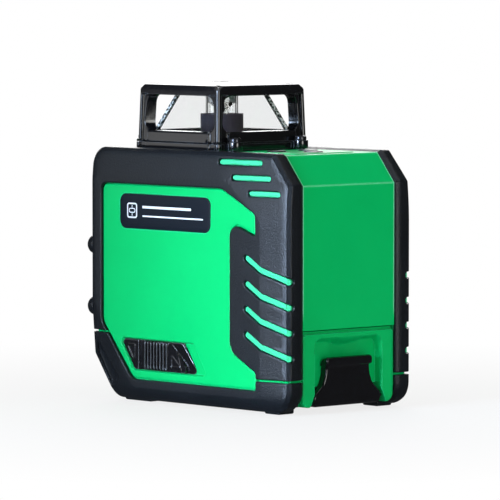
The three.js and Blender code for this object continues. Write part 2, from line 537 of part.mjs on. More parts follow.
function batteryDoor() {
  const half = CENTRE_HALF - 0.2;
  // section through the door: a round top edge about its hinge, and a thick lower part
  const section = rounded([
    [DOOR_BACK, BASE, 0.5], [REAR, BASE, 0.5], [REAR, DOOR_TOP, 1.88], [PIVOT.y - 1.9, DOOR_TOP, 1.88],
    [PIVOT.y - 1.9, PIVOT.z - 2.6], [DOOR_BACK, PIVOT.z - 4],
  ]);
  const front = [[-half, BASE, 4], [half, BASE, 4], [half, DOOR_TOP + 1], [-half, DOOR_TOP + 1]];
  const pocket = [[-POCKET.half, -5], [POCKET.half, -5], [POCKET.half, POCKET.z1, 2], [-POCKET.half, POCKET.z1, 2]];
  const scoop = new THREE.SphereGeometry(11, 20, 12).scale(1, 0.32, 0.6).translate(0, POCKET.floor + 2.2, 27.2);
  return cut(
    common(alongX(section, -half, half), alongY(rounded(front), DOOR_BACK - 1, REAR + 1)),
    alongY(rounded(pocket), POCKET.floor, REAR + 2),
    common(scoop, box(-12, 12, POCKET.floor - 0.9, REAR + 2, 14, POCKET.z1 - 0.5)),
    box(-POCKET.half, POCKET.half, DOOR_BACK - 1, REAR + 2, -5, POCKET.notchTop),
    rodX(PIVOT.pin + 0.2, -half - 1, half + 1, PIVOT.y, PIVOT.z, 10),
    rodX(LATCH_PIN.radius + 0.2, -20, 20, LATCH_PIN.y, LATCH_PIN.z, 10),
  );
}
place('battery_door', batteryDoor(), GREEN);
place('door_hinge_pin', rodX(PIVOT.pin, -27, 27, PIVOT.y, PIVOT.z, 10), STEEL);

function batteryLatch() {
  const front = rounded([
    [-16.8, 2.5, 1.5], [16.8, 2.5, 1.5], [17.3, 6.6, 3.2], [12.2, 11.5, 7], [12.2, 21.7, 1.6],
    [-12.2, 21.7, 1.6], [-12.2, 11.5, 7], [-17.3, 6.6, 3.2],
  ], 4);
  const section = rounded([
    [51.5, 3.2, 0.4], [53.2, 2.5, 0.5], [55.6, 2.5, 1.2], [56, 8, 6], [55.9, 17.6, 0.4], [57, 18.3, 0.4],
    [57, 21.2, 0.5], [55.2, 21.7, 0.6], [54, 17, 1], [54, 10, 1.5], [53.6, 7.8, 1], [51.9, 5.4, 1],
  ], 3);
  return join(
    common(alongX(section, -20, 20), alongY(front, 50, 60)),
    rodX(LATCH_PIN.radius, -19.5, 19.5, LATCH_PIN.y, LATCH_PIN.z, 10), // moulded pivots
  );
}
place('battery_latch', batteryLatch(), BLACK);

// ---------------------------------------------------------------- gimbal and pendulum
const GIMBAL_Z = 74;
const RING = { inner: 11.2, outer: 14, half: 2.2 };
const BARREL = { radius: 8.1, bottom: 64, top: 114.1 };
const TUBE = { radius: 6, top: 122 };

function gimbalBracket() {
  let bracket = cut(
    box(-22, 22, HEAD_Y - 22, HEAD_Y + 22, GIMBAL_Z - 2.5, GIMBAL_Z + 2.5),
    box(-15.2, 15.2, HEAD_Y - 16, HEAD_Y + 16, GIMBAL_Z - 5, GIMBAL_Z + 5),
    rodX(1.1, -30, 30, HEAD_Y, GIMBAL_Z, 10),
  );
  for (const sx of [-1, 1]) {
    for (const sy of [-1, 1]) {
      bracket = join(bracket, rodZ(2.5, sx * 18.5, HEAD_Y + sy * 19, GIMBAL_Z, TOP - WALL - 0.1, 10));
    }
  }
  return bracket;
}
place('gimbal_bracket', gimbalBracket(), ZINC);
place('gimbal_ring', join(
  cut(
    box(-RING.outer, RING.outer, HEAD_Y - RING.outer, HEAD_Y + RING.outer, GIMBAL_Z - RING.half, GIMBAL_Z + RING.half),
    box(-RING.inner, RING.inner, HEAD_Y - RING.inner, HEAD_Y + RING.inner, GIMBAL_Z - 5, GIMBAL_Z + 5),
    rodY(1.1, 0, HEAD_Y - 20, HEAD_Y + 20, GIMBAL_Z, 10),
  ),
  rodX(0.9, RING.outer - 1, 19.8, HEAD_Y, GIMBAL_Z, 10),
  rodX(0.9, -19.8, 1 - RING.outer, HEAD_Y, GIMBAL_Z, 10),
), ZINC);

const VERTICAL = { z: 53, radius: 6.2, y0: HEAD_Y - 24, y1: HEAD_Y + 6 };
const DAMPER = { z0: 28.8, z1: 30.8, radius: 13 };
place('pendulum_body', join(cut(
  join(
    rodZ(9.6, 0, HEAD_Y, 61, 84, 20),
    box(-2.6, 2.6, HEAD_Y - 10.9, HEAD_Y + 10.9, GIMBAL_Z - 2.6, GIMBAL_Z + 2.6),
    box(-11, 11, HEAD_Y - 11, HEAD_Y + 15.4, 44, 62),
    rodZ(5.4, 0, HEAD_Y, DAMPER.z1 + 0.05, 45, 12),
  ),
  rodZ(BARREL.radius + 0.2, 0, HEAD_Y, BARREL.bottom - 0.2, 90, 20),
  rodY(VERTICAL.radius + 0.2, 0, HEAD_Y - 20, VERTICAL.y1 + 0.2, VERTICAL.z, 20),
  rodX(1.7, 4, 20, HEAD_Y + 11, 49, 8),
  rodY(1.7, 7.6, HEAD_Y + 8, HEAD_Y + 20, 57.5, 8),
),
rodY(0.8, 0, HEAD_Y + 10, HEAD_Y + 13.8, GIMBAL_Z, 10),
rodY(0.8, 0, HEAD_Y - 13.8, HEAD_Y - 10, GIMBAL_Z, 10)), ZINC);
place('horizontal_barrel', cut(
  rodZ(BARREL.radius, 0, HEAD_Y, BARREL.bottom, BARREL.top, 20),
  rodZ(TUBE.radius + 0.2, 0, HEAD_Y, BARREL.top - 3, BARREL.top + 1, 20),
), BLACK);
place('emitter_tube', turned([
  [TUBE.radius - 0.8, BARREL.top - 2.8], [TUBE.radius, BARREL.top - 2.8], [TUBE.radius, TUBE.top],
  [TUBE.radius - 0.8, TUBE.top], [TUBE.radius - 0.8, BARREL.top - 2.8],
], 0, HEAD_Y, 20), GLASS);
place('cone_mirror', turned([
  [0, BARREL.top + 0.3], [TUBE.radius - 1.2, BARREL.top + 4.5], [TUBE.radius - 1.2, TUBE.top + 0.3],
  [0, TUBE.top + 0.3],
], 0, HEAD_Y, 20), STEEL);
place('vertical_barrel', rodY(VERTICAL.radius, 0, VERTICAL.y0, VERTICAL.y1, VERTICAL.z, 20), BRASS);
place('line_lens', rodX(2.4, -4.6, 4.6, VERTICAL.y0 - 2.5, VERTICAL.z, 12), GLASS);
place('damper_plate', rodZ(DAMPER.radius, 0, HEAD_Y, DAMPER.z0, DAMPER.z1, 24), COPPER);
place('balance_screw_side', rodX(1.4, 6, 12.4, HEAD_Y + 11, 49, 8), BRASS);
place('balance_screw_rear', rodY(1.4, 7.6, HEAD_Y + 9.6, HEAD_Y + 16.6, 57.5, 8), BRASS);

// ---------------------------------------------------------------- magnetic damper and pendulum lock
place('magnet_yoke', cut(
  rodZ(YOKE.radius, 0, HEAD_Y, YOKE.z0, YOKE.z1, 24),
  rodZ(3.3, 0, HEAD_Y, YOKE.z0 - 1, YOKE.z1 + 1, 16),
), STEEL);
place('ring_magnet', cut(
  rodZ(12.6, 0, HEAD_Y, YOKE.z1 + 0.05, 26.6, 24),
  rodZ(5.4, 0, HEAD_Y, YOKE.z1 - 1, 28, 16),
), GREY);

const CAM_SLOPE = PAD_LIFT / LOCK_TRAVEL;
const camHeight = (y) => 12 - CAM_SLOPE * (y - HEAD_Y);
const wedge = (y0, y1, low) => [[y0, low], [y1, low], [y1, camHeight(y1)], [y0, camHeight(y0)]]
  .map((p) => new THREE.Vector2(...p));
place('lock_cam', join(
  alongX(wedge(HEAD_Y - 11.5, HEAD_Y + 4.8, 9.2), -4, 4),
  box(3, 29.5, LOCK_Y - 2.4, LOCK_Y + 2.4, 9.2, 12),
  box(27.5, 29.5, LOCK_Y - 2.4, LOCK_Y + 2.4, 9.2, 20.8),
  box(29, PANEL_FACE - 1.7, LOCK_Y - 1.9, LOCK_Y + 1.9, 17.2, 20.8),
), GREY);
place('lock_pad', join(
  alongX([
    [HEAD_Y - 4, camHeight(HEAD_Y - 4) + GAP], [HEAD_Y + 4, camHeight(HEAD_Y + 4) + GAP], [HEAD_Y + 4, 17],
    [HEAD_Y - 4, 17],
  ].map((p) => new THREE.Vector2(...p)), -3.4, 3.4),
  rodZ(2.9, 0, HEAD_Y, 16, 26.2, 14),
), RUBBER);

// the thumb slider: a slanted plate with a ribbed grip
function lockSlider() {
  const plateBack = PANEL_FACE - 1.55;
  const plateFace = PANEL_FACE - 0.3;
  let slider = asSolid(alongX(sliderRecess(-0.05, 0), plateBack, plateFace));
  const grip = { y0: -29, y1: -11.8, z0: 13.6, z1: 24.4, ribs: 8 };
  const pitch = (grip.y1 - grip.y0) / grip.ribs;
  slider = join(slider, box(grip.y0, grip.y1, grip.z0, grip.z1, 0, 0.1).applyMatrix4(
    new THREE.Matrix4().set(0, 0, 1, 0, 1, 0, 0, 0, 0, 1, 0, 0, 0, 0, 0, 1)).scale(3, 1, 1).translate(plateFace - 0.05, 0, 0));
  for (let i = 0; i < grip.ribs; i++) {
    const y = grip.y0 + i * pitch;
    slider = join(slider, box(plateFace - 0.2, HALF_WIDTH - 0.1, y + 0.2, y + pitch - 0.7, grip.z0, grip.z1));
  }
  return slider;
}
place('lock_slider', lockSlider(), BLACK);

export default laser;
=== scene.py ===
"""Looks of the self-levelling line laser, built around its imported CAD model.

Lengths are millimetres and are scaled to metres where a mesh is made. The camera, the lights and the floor are placed
in metres.
"""
import json
import math

import bmesh
import bpy
import numpy as np
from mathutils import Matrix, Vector
from mathutils.geometry import delaunay_2d_cdt


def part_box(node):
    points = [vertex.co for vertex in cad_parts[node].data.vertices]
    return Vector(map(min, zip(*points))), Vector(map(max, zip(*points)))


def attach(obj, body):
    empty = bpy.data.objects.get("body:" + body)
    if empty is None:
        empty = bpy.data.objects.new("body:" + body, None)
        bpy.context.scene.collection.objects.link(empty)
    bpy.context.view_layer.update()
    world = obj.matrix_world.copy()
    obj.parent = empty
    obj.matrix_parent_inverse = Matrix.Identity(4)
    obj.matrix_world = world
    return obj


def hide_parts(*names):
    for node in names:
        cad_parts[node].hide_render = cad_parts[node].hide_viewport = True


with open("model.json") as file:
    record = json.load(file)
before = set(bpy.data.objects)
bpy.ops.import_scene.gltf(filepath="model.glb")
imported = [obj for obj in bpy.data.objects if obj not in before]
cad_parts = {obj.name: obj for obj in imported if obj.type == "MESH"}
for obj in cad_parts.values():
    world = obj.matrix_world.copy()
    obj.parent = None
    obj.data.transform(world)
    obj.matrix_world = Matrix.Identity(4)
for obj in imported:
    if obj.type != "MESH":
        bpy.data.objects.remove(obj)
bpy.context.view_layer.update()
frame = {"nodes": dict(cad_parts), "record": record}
NODES = frame["nodes"]
MM = 0.001


def node_box(name):
    """Lowest and highest corner of a CAD node, in millimetres."""
    low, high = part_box(name)
    return np.array(low) / MM, np.array(high) / MM


# ------------------------------------------------------------------ camera, light, floor
CAMERA_AIM = Vector((0.0, 0.00128, 0.06044))
CAMERA_AZIMUTH = 137.385
CAMERA_ELEVATION = 3.575
CAMERA_DISTANCE = 1.90875
CAMERA_LENS = 345.5
FILL = 0.21
FILL_REFLECTED = 0.05

scene = bpy.context.scene
scene.view_settings.view_transform = "Standard"
scene.view_settings.look = "None"


def make_camera():
    data = bpy.data.cameras.new("camera")
    data.lens = CAMERA_LENS
    data.sensor_width = 36.0
    data.clip_end = 20.0
    camera = bpy.data.objects.new("camera", data)
    scene.collection.objects.link(camera)
    az, el = math.radians(CAMERA_AZIMUTH), math.radians(CAMERA_ELEVATION)
    away = Vector((math.sin(az) * math.cos(el), -math.cos(az) * math.cos(el), math.sin(el)))
    camera.location = CAMERA_AIM + away * CAMERA_DISTANCE
    camera.rotation_euler = (-away).to_track_quat("-Z", "Y").to_euler()
    scene.camera = camera


def area_light(name, place, aim, size, power, tint=(1, 1, 1)):
    data = bpy.data.lights.new(name, "AREA")
    data.shape = "RECTANGLE"
    data.size, data.size_y = size
    data.energy = power
    data.color = tint
    light = bpy.data.objects.new(name, data)
    scene.collection.objects.link(light)
    light.location = place
    light.rotation_euler = (Vector(aim) - Vector(place)).to_track_quat("-Z", "Y").to_euler()
    return light


def add_node(tree, kind, inputs=(), **settings):
    """A new shader node. inputs maps its inputs to a value, or to the socket that feeds them."""
    node = tree.nodes.new("ShaderNode" + kind)
    for key, value in settings.items():
        setattr(node, key, value)
    for key, value in dict(inputs).items():
        if isinstance(value, bpy.types.NodeSocket):
            tree.links.new(value, node.inputs[key])
        else:
            node.inputs[key].default_value = value
    return node


def math_node(tree, operation, a, b):
    return add_node(tree, "Math", {0: a, 1: b}, operation=operation).outputs["Value"]


def map_range(tree, value, start, end, low=0.0, high=1.0):
    """A value's run from start to end mapped to low to high."""
    ranges = {"Value": value, "From Min": start, "From Max": end, "To Min": low, "To Max": high}
    return add_node(tree, "MapRange", ranges).outputs["Result"]


def mix_shaders(tree, factor, first, second):
    return add_node(tree, "MixShader", {0: factor, 1: first, 2: second}).outputs[0]


def seen_directly(tree):
    """1 for rays that have met nothing, or only clear glass, on their way from the camera, else 0."""
    path = add_node(tree, "LightPath")
    bounces = math_node(tree, "ADD", path.outputs["Diffuse Depth"], path.outputs["Glossy Depth"])
    return math_node(tree, "LESS_THAN", bounces, 0.5)


def make_world():
    """White where it is seen directly or through glass, dim in reflections, an even soft fill for the rest."""
    world = bpy.data.worlds.new("studio")
    scene.world = world
    world.use_nodes = True
    tree = world.node_tree
    tree.nodes.clear()

    def background(strength):
        return add_node(tree, "Background", {"Color": (1, 1, 1, 1), "Strength": strength}).outputs[0]

    glossy = add_node(tree, "LightPath").outputs["Is Glossy Ray"]
    fill = mix_shaders(tree, glossy, background(FILL), background(FILL_REFLECTED))
    add_node(tree, "OutputWorld", {0: mix_shaders(tree, seen_directly(tree), fill, background(1.0))})


def make_floor():
    """Pale floor that takes a soft shadow near the object and fades to white further out."""
    bpy.ops.mesh.primitive_plane_add(size=8, location=(0, 0, -0.0002))
    floor = bpy.context.object
    floor.name = "floor"
    material = bpy.data.materials.new("floor")
    material.use_nodes = True
    tree = material.node_tree
    shader = tree.nodes["Principled BSDF"]
    shader.inputs["Base Color"].default_value = (0.6, 0.6, 0.6, 1)
    shader.inputs["Roughness"].default_value = 0.8
    place = add_node(tree, "TexCoord").outputs["Object"]
    reach = add_node(tree, "VectorMath", {0: place}, operation="LENGTH").outputs["Value"]
    fade = map_range(tree, reach, 0.05, 0.30, 0.80, 1.0)
    white = math_node(tree, "MULTIPLY", fade, seen_directly(tree))
    surface = mix_shaders(tree, white, shader.outputs[0], add_node(tree, "Emission").outputs[0])
    tree.links.new(surface, tree.nodes["Material Output"].inputs["Surface"])
    floor.data.materials.append(material)
    floor.visible_glossy = False


def make_studio():
    make_world()
    make_floor()
    area_light("light_side", (1.30, -0.47, 0.30), (0.03, 0, 0.06), (0.9, 1.0), 2.0, (0.95, 0.98, 1.0))
    area_light("light_card", (1.42, -0.69, 0.30), (0.03, 0, 0.08), (0.6, 0.7), 2.9, (0.88, 0.96, 1.06))
    near = area_light("light_near", (0.60, 0.09, 0.17), (0.034, 0.112, 0.055), (0.28, 0.40), 0.62, (0.78, 1.0, 1.36))
    near.data.spread = math.radians(28)
    area_light("light_lantern", (0.262, -0.274, 0.090), (0.024, -0.015, 0.115), (0.085, 0.06), 0.020)
    area_light("light_rear", (0.25, 1.25, 0.20), (0, 0.05, 0.04), (0.45, 0.5), 5.0, (1.0, 1.0, 0.96))
    area_light("light_back", (-0.40, 0.43, 1.22), (0, 0.05, 0.08), (0.30, 0.30), 1.0)
    area_light("light_top", (0.1, 0.15, 1.3), (0, 0, 0.1), (0.8, 0.8), 2.8)
    area_light("light_front", (-0.8, -0.9, 0.6), (0, 0, 0.06), (0.8, 0.8), 9)


# ------------------------------------------------------------------ materials
SLOW_NOISE = 45  # scale of the slow changes in colour and gloss, per metre
LOOKS = {}  # each material by its name, which is also its slot's name where it serves a whole slot


def noise(tree, place, scale, detail, roughness=0.5):
    inputs = {"Vector": place, "Scale": scale, "Detail": detail, "Roughness": roughness}
    return add_node(tree, "TexNoise", inputs).outputs["Fac"]


def mix_color(tree, factor, first, second, blend="MIX"):
    inputs = {"Factor": factor, "A": first, "B": second}
    return add_node(tree, "Mix", inputs, data_type="RGBA", blend_type=blend).outputs["Result"]


def edge_wear_and_highlight(tree, place, wear_and_highlight, edge_radius, painted_highlight_from):
    """How much the convex edges are paled (wear on steel, elsewhere a painted highlight), and only above a given height
    if one is given.
    """
    geometry = add_node(tree, "NewGeometry")
    if edge_radius:  # where the surface turns within this distance
        turn = add_node(tree, "Bevel", {"Radius": edge_radius * MM}, samples=6).outputs["Normal"]
        agree = add_node(tree, "VectorMath", {0: turn, 1: geometry.outputs["Normal"]}, operation="DOT_PRODUCT")
        amount = map_range(tree, agree.outputs["Value"], 0.998, 0.97, 0, wear_and_highlight)
    else:
        amount = map_range(tree, geometry.outputs["Pointiness"], 0.52, 0.62, 0, wear_and_highlight)
    if painted_highlight_from is None:
        return amount
    height = add_node(tree, "SeparateXYZ", {0: place}).outputs["Z"]
    return math_node(tree, "MULTIPLY", amount, map_range(tree, height, (painted_highlight_from - 4) * MM, painted_highlight_from * MM))


def plastic(name, color, roughness, grain, grain_size=0.4, variation=0.05, wear_and_highlight=0.0, metallic=0.0, coat=0.0,
            transmission=0.0, ior=1.46, specular=0.5, relief=1.0, painted_highlight_color=None, edge_radius=0, painted_highlight_from=None):
    """A moulded or machined surface: slow colour and gloss changes, a fine bump and paler edges (wear on steel,
    elsewhere a painted highlight).
    """
    material = LOOKS[name] = bpy.data.materials.new(name)
    material.use_nodes = True
    tree = material.node_tree
    shader = tree.nodes["Principled BSDF"]
    shader.inputs["Metallic"].default_value = metallic
    shader.inputs["Coat Weight"].default_value = coat
    shader.inputs["Coat Roughness"].default_value = 0.08
    shader.inputs["Transmission Weight"].default_value = transmission
    shader.inputs["IOR"].default_value = ior
    shader.inputs["Specular IOR Level"].default_value = specular
    place = add_node(tree, "TexCoord").outputs["Object"]
    slow = noise(tree, place, SLOW_NOISE, 4)
    fine = noise(tree, place, 1 / (grain_size * MM), 3, 0.6)

    def between(value, low, high):
        return map_range(tree, value, 0.3, 0.7, low, high)

    def shaded(share):
        return (*[min(1, c * (1 + share)) for c in color], 1)

    result = mix_color(tree, between(slow, 0, 1), shaded(-variation), shaded(variation))
    tone = between(fine, 1 - 0.25 * grain, 1 + 0.25 * grain)
    speck = add_node(tree, "CombineColor", {"Red": tone, "Green": tone, "Blue": tone}).outputs["Color"]
    result = mix_color(tree, 1.0, result, speck, "MULTIPLY")
    # paler convex edges: wear on the steel looks, a painted highlight on the green, black and rubber looks
    if wear_and_highlight:
        wear_and_highlight_color = painted_highlight_color or [min(1, c * 2.2 + 0.03) for c in color]
        result = mix_color(tree, edge_wear_and_highlight(tree, place, wear_and_highlight, edge_radius, painted_highlight_from), result, (*wear_and_highlight_color, 1))
    tree.links.new(result, shader.inputs["Base Color"])
    spread = 0.04 * (grain + 0.3)
    gloss = math_node(tree, "ADD", between(slow, -0.03, 0.03), between(fine, roughness - spread, roughness + spread))
    tree.links.new(gloss, shader.inputs["Roughness"])
    distance = 0.02 * MM * (0.2 + grain * 3) * relief
    bump = add_node(tree, "Bump", {"Strength": min(1.0, 0.15 + grain), "Distance": distance, "Height": fine})
    tree.links.new(bump.outputs["Normal"], shader.inputs["Normal"])
    return material


def frosted(name):
    """Ground glass edge: dark and pale flecks."""
    material = plastic(name, (0.5, 0.55, 0.55), 0.5, grain=0.3, grain_size=0.6, variation=0.3)
    tree = material.node_tree
    fleck = noise(tree, add_node(tree, "TexCoord").outputs["Object"], 1100, 2)
    ramp = add_node(tree, "ValToRGB", {"Fac": fleck})
    dark, pale = ramp.color_ramp.elements
    dark.position, dark.color = 0.45, (0.012, 0.016, 0.018, 1)
    pale.position, pale.color = 0.53, (0.80, 0.86, 0.85, 1)
    tree.links.new(ramp.outputs["Color"], tree.nodes["Principled BSDF"].inputs["Base Color"])
    return material


JET = (0.004, 0.004, 0.005)
FROSTED = frosted("ground_glass")
# painted highlight: the green's rounded edges, the panel's rim among them, are paled as if they caught the light
GREEN = plastic("green_plastic", (0.0, 0.48, 0.115), 0.36, grain=0.05, grain_size=0.25, variation=0.03, wear_and_highlight=0.4,
                specular=0.12, painted_highlight_color=(0.06, 0.80, 0.40), edge_radius=0.4)
# painted highlight: the casing's edges above 40 mm, its crease among them, are paled into a bright line of reflected
# light
CASING_GREEN = plastic("casing_green", (0.0, 0.50, 0.12), 0.34, grain=0.05, grain_size=0.25, variation=0.03,
                       wear_and_highlight=0.9, specular=0.12, painted_highlight_color=(0.30, 0.90, 0.58), edge_radius=0.9, painted_highlight_from=40)
# painted highlight: the slider's ribs, marks and edges are paled into light streaks
KNOB_BLACK = plastic("knob_black", JET, 0.2, grain=0.05, grain_size=0.8, variation=0.1, coat=0.3, wear_and_highlight=0.9,
                     painted_highlight_color=(0.22, 0.24, 0.25))
# painted highlight: the rubber's convex edges are paled a little into thin lines of reflected light
RUBBER = plastic("rubber", (0.0045, 0.006, 0.008), 0.37, grain=1.0, grain_size=0.75, variation=0.12, wear_and_highlight=0.05,
                 specular=0.46, relief=2.6, painted_highlight_color=(0.05, 0.06, 0.07))
BLACK = plastic("black_plastic", JET, 0.14, grain=0.03, grain_size=0.8, variation=0.1, coat=0.3)
# painted highlight: the lantern frame's edges are paled into thin lines of reflected light
LANTERN_BLACK = plastic("lantern_black", JET, 0.14, grain=0.03, grain_size=0.8, variation=0.1, coat=0.3, wear_and_highlight=0.35,
                        painted_highlight_color=(0.20, 0.22, 0.24), edge_radius=0.25)
BLACK_STEEL = plastic("black_steel", (0.03, 0.03, 0.034), 0.25, grain=0.2, grain_size=0.5, metallic=0.7, wear_and_highlight=0.1)
MINT = plastic("mint_strip", (0.05, 0.57, 0.25), 0.35, grain=0.05, grain_size=0.3, variation=0.05, specular=0.2)
LABEL_DARK = plastic("label_dark", (0.006, 0.009, 0.014), 0.45, grain=0.15, grain_size=0.5, variation=0.08,
                     specular=0.15)
PRINT = plastic("white_print", (0.80, 0.82, 0.82), 0.5, grain=0.2, grain_size=0.3, variation=0.04)
BARREL = plastic("barrel", (0.062, 0.056, 0.068), 0.5, grain=0.5, grain_size=0.6, variation=0.12, specular=0.06)
CAP_GREY = plastic("cap_grey", (0.60, 0.65, 0.66), 0.45, grain=0.3, grain_size=0.5, variation=0.06)
DARK_MIRROR = plastic("dark_mirror", (0.05, 0.055, 0.06), 0.12, grain=0.02, metallic=1.0, variation=0.05)
# slots that only CAD nodes use
plastic("glass", (0.985, 1.0, 1.0), 0.02, grain=0.02, grain_size=6, variation=0.01, transmission=1.0, ior=1.4)
plastic("dark_plastic", (0.030, 0.032, 0.038), 0.5, grain=0.4, grain_size=0.35, variation=0.08)
plastic("steel", (0.55, 0.56, 0.58), 0.32, grain=0.2, grain_size=0.5, metallic=1.0, wear_and_highlight=0.1)
plastic("brass", (0.66, 0.46, 0.18), 0.3, grain=0.2, grain_size=0.5, metallic=1.0, variation=0.08)
plastic("zinc", (0.42, 0.43, 0.45), 0.48, grain=0.6, grain_size=0.6, metallic=1.0, variation=0.1)
plastic("magnet", (0.09, 0.09, 0.10), 0.6, grain=0.6, grain_size=0.5, metallic=0.4)
plastic("copper", (0.70, 0.30, 0.17), 0.35, grain=0.2, grain_size=0.7, metallic=1.0, variation=0.12)
plastic("mirror", (0.86, 0.87, 0.89), 0.06, grain=0.02, metallic=1.0, variation=0.02)
plastic("circuit_board", (0.02, 0.14, 0.06), 0.4, grain=0.3, grain_size=0.8)
plastic("cell_sleeve", (0.05, 0.07, 0.20), 0.3, grain=0.1, grain_size=1.5, metallic=0.3)
plastic("light_pipe", (0.7, 0.95, 0.8), 0.2, grain=0.05, grain_size=1.0, variation=0.03)

# CAD nodes whose finish differs from the rest of their slot, and those whose edges are finer
OWN_LOOK = {"horizontal_barrel": BARREL, "keypad_plate": GREEN, "middle_casing": CASING_GREEN}
EDGE_WIDTH = 0.3
OWN_EDGE_WIDTH = {"middle_casing": 0.25}


def dress_cad_nodes():
    """Every CAD node gets its material and softened edges."""
    slots = {s["node"]: s["material_slot"] for s in frame["record"]["subparts"]}
    for name, node in NODES.items():
        node.data.materials.clear()
        node.data.materials.append(OWN_LOOK.get(name, LOOKS[slots[name]]))
        flat = node.modifiers.new("flat", "DECIMATE")
        flat.decimate_type = "DISSOLVE"
        flat.angle_limit = math.radians(0.5)
        bevel = node.modifiers.new("bevel", "BEVEL")
        bevel.width = OWN_EDGE_WIDTH.get(name, EDGE_WIDTH) * MM
        bevel.segments = 3
        bevel.limit_method = "ANGLE"
        bevel.angle_limit = math.radians(40)
        bevel.harden_normals = True


# ------------------------------------------------------------------ outlines
def unit(v):
    return v / np.linalg.norm(v)


def box_corners(u0, v0, u1, v1, radius):
    return [[u0, v0, radius], [u1, v0, radius], [u1, v1, radius], [u0, v1, radius]]


def corner_loop(corners, step):
    """Closed outline of corners [u, v, radius], rounded, as an array of points."""
    out = []
    for i, (u, v, radius) in enumerate(corners):
        here = np.array([u, v], float)
        if radius < 0.05:
            out.append(here)
            continue
        before = unit(np.array(corners[i - 1][:2], float) - here)
        after = unit(np.array(corners[(i + 1) % len(corners)][:2], float) - here)
        half = math.acos(max(-1.0, min(1.0, float(before @ after)))) / 2
        centre = here + unit(before + after) * radius / math.sin(half)
        reach = radius / math.tan(half)
        start = here + before * reach - centre
        end = here + after * reach - centre
        a0 = math.atan2(start[1], start[0])
        turn = math.atan2(end[1], end[0]) - a0
        turn = (turn + math.pi) % (2 * math.pi) - math.pi
        steps = max(3, int(abs(turn) * radius / step))
        for k in range(steps + 1):
            a = a0 + turn * k / steps
            out.append(centre + radius * np.array([math.cos(a), math.sin(a)]))
    return np.array(out)


def inset(corners, d):
    """Corners of an anticlockwise outline moved inwards by d, with corner radii to suit."""
    out = []
    for i, (u, v, radius) in enumerate(corners):
        here = np.array([u, v], float)
        before = unit(here - np.array(corners[i - 1][:2], float))
        after = unit(np.array(corners[(i + 1) % len(corners)][:2], float) - here)
        normal = unit(np.array([-before[1] - after[1], before[0] + after[0]]))
        reach = d / (-normal[0] * before[1] + normal[1] * before[0])
        convex = before[0] * after[1] - before[1] * after[0] > 0
        spot = here + normal * reach
        out.append([spot[0], spot[1], max(0.0, radius + (-d if convex else d))])
    return out


def densify(loop, step, closed=True):
    """The same polyline with long edges cut into pieces of about one step."""
    out = []
    count = len(loop)
    for i in range(count if closed else count - 1):
        a, b = loop[i], loop[(i + 1) % count]
        pieces = max(1, int(round(np.linalg.norm(b - a) / step)))
        for k in range(pieces):
            out.append(a + (b - a) * k / pieces)
    if not closed:
        out.append(loop[-1])
    return np.array(out)


def open_line(points, step):
    """A polyline for triangulate that isn't closed."""
    return "open", densify(np.array(points, float), step, closed=False)


def opened(loop):
    """A closed outline that has lost some points, as a polyline that starts after its widest gap."""
    gaps = np.linalg.norm(loop - np.roll(loop, 1, axis=0), axis=1)
    return "open", np.roll(loop, -int(np.argmax(gaps)), axis=0)


def nearest_on(points, loop, closed=True):
    """Distance from each point to a polyline, with the nearest spot and its segment's direction."""
    a = loop if closed else loop[:-1]
    b = np.roll(loop, -1, axis=0) if closed else loop[1:]
    keep = np.linalg.norm(b - a, axis=1) > 1e-9
    best = np.full(len(points), 1e9)
    spot = np.zeros((len(points), 2))
    along = np.zeros((len(points), 2))
    for p0, p1 in zip(a[keep], b[keep]):
        d = p1 - p0
        t = np.clip(((points - p0) @ d) / (d @ d), 0, 1)
        q = p0 + t[:, None] * d
        r = np.linalg.norm(points - q, axis=1)
        closer = r < best
        best[closer] = r[closer]
        spot[closer] = q[closer]
        along[closer] = unit(d)
    return best, spot, along


def inside(points, loop):
    """Which points lie inside a closed polyline."""
    x, y = points[:, 0], points[:, 1]
    result = np.zeros(len(points), bool)
    for (x0, y0), (x1, y1) in zip(loop, np.roll(loop, -1, axis=0)):
        if y0 == y1:
            continue
        crosses = (y0 > y) != (y1 > y)
        result ^= crosses & (x < (x1 - x0) * (y - y0) / (y1 - y0) + x0)
    return result


def signed(points, loop):
    """Distance to a closed outline, negative inside it."""
    d = nearest_on(points, loop)[0]
    return np.where(inside(points, loop), -d, d)


def grow(loop, d):
    """An anticlockwise outline moved outwards by d along its corner bisectors."""
    def units(rows):
        return rows / np.maximum(np.linalg.norm(rows, axis=1), 1e-9)[:, None]

    before = units(loop - np.roll(loop, 1, axis=0))
    after = units(np.roll(loop, -1, axis=0) - loop)
    n0, n1 = (np.stack([rows[:, 1], -rows[:, 0]], 1) for rows in (before, after))
    normal = units(n0 + n1)
    return loop + normal * d / np.maximum((normal * n0).sum(1), 0.4)[:, None]


def capsule(points, half):
    """Outline of a round-ended slot along a chain of points, anticlockwise."""
    points = np.array(points, float)
    ways = [unit(d) for d in np.diff(points, axis=0)]
    left, right = [], []
    for p, d0, d1 in zip(points, ways[:1] + ways, ways + ways[-1:]):
        n = unit(np.array([-d0[1] - d1[1], d0[0] + d1[0]]))
        reach = half / (n @ np.array([-d0[1], d0[0]]))
        left.append(p + n * reach)
        right.append(p - n * reach)

    def cap(centre, start):
        steps = max(6, int(math.pi * half / 0.35))
        a0 = math.atan2(*(start - centre)[::-1])
        turns = [a0 + math.pi * k / steps for k in range(1, steps)]
        return [centre + half * np.array([math.cos(a), math.sin(a)]) for a in turns]

    return np.array(right + cap(points[-1], right[-1]) + left[::-1] + cap(points[0], left[0]))


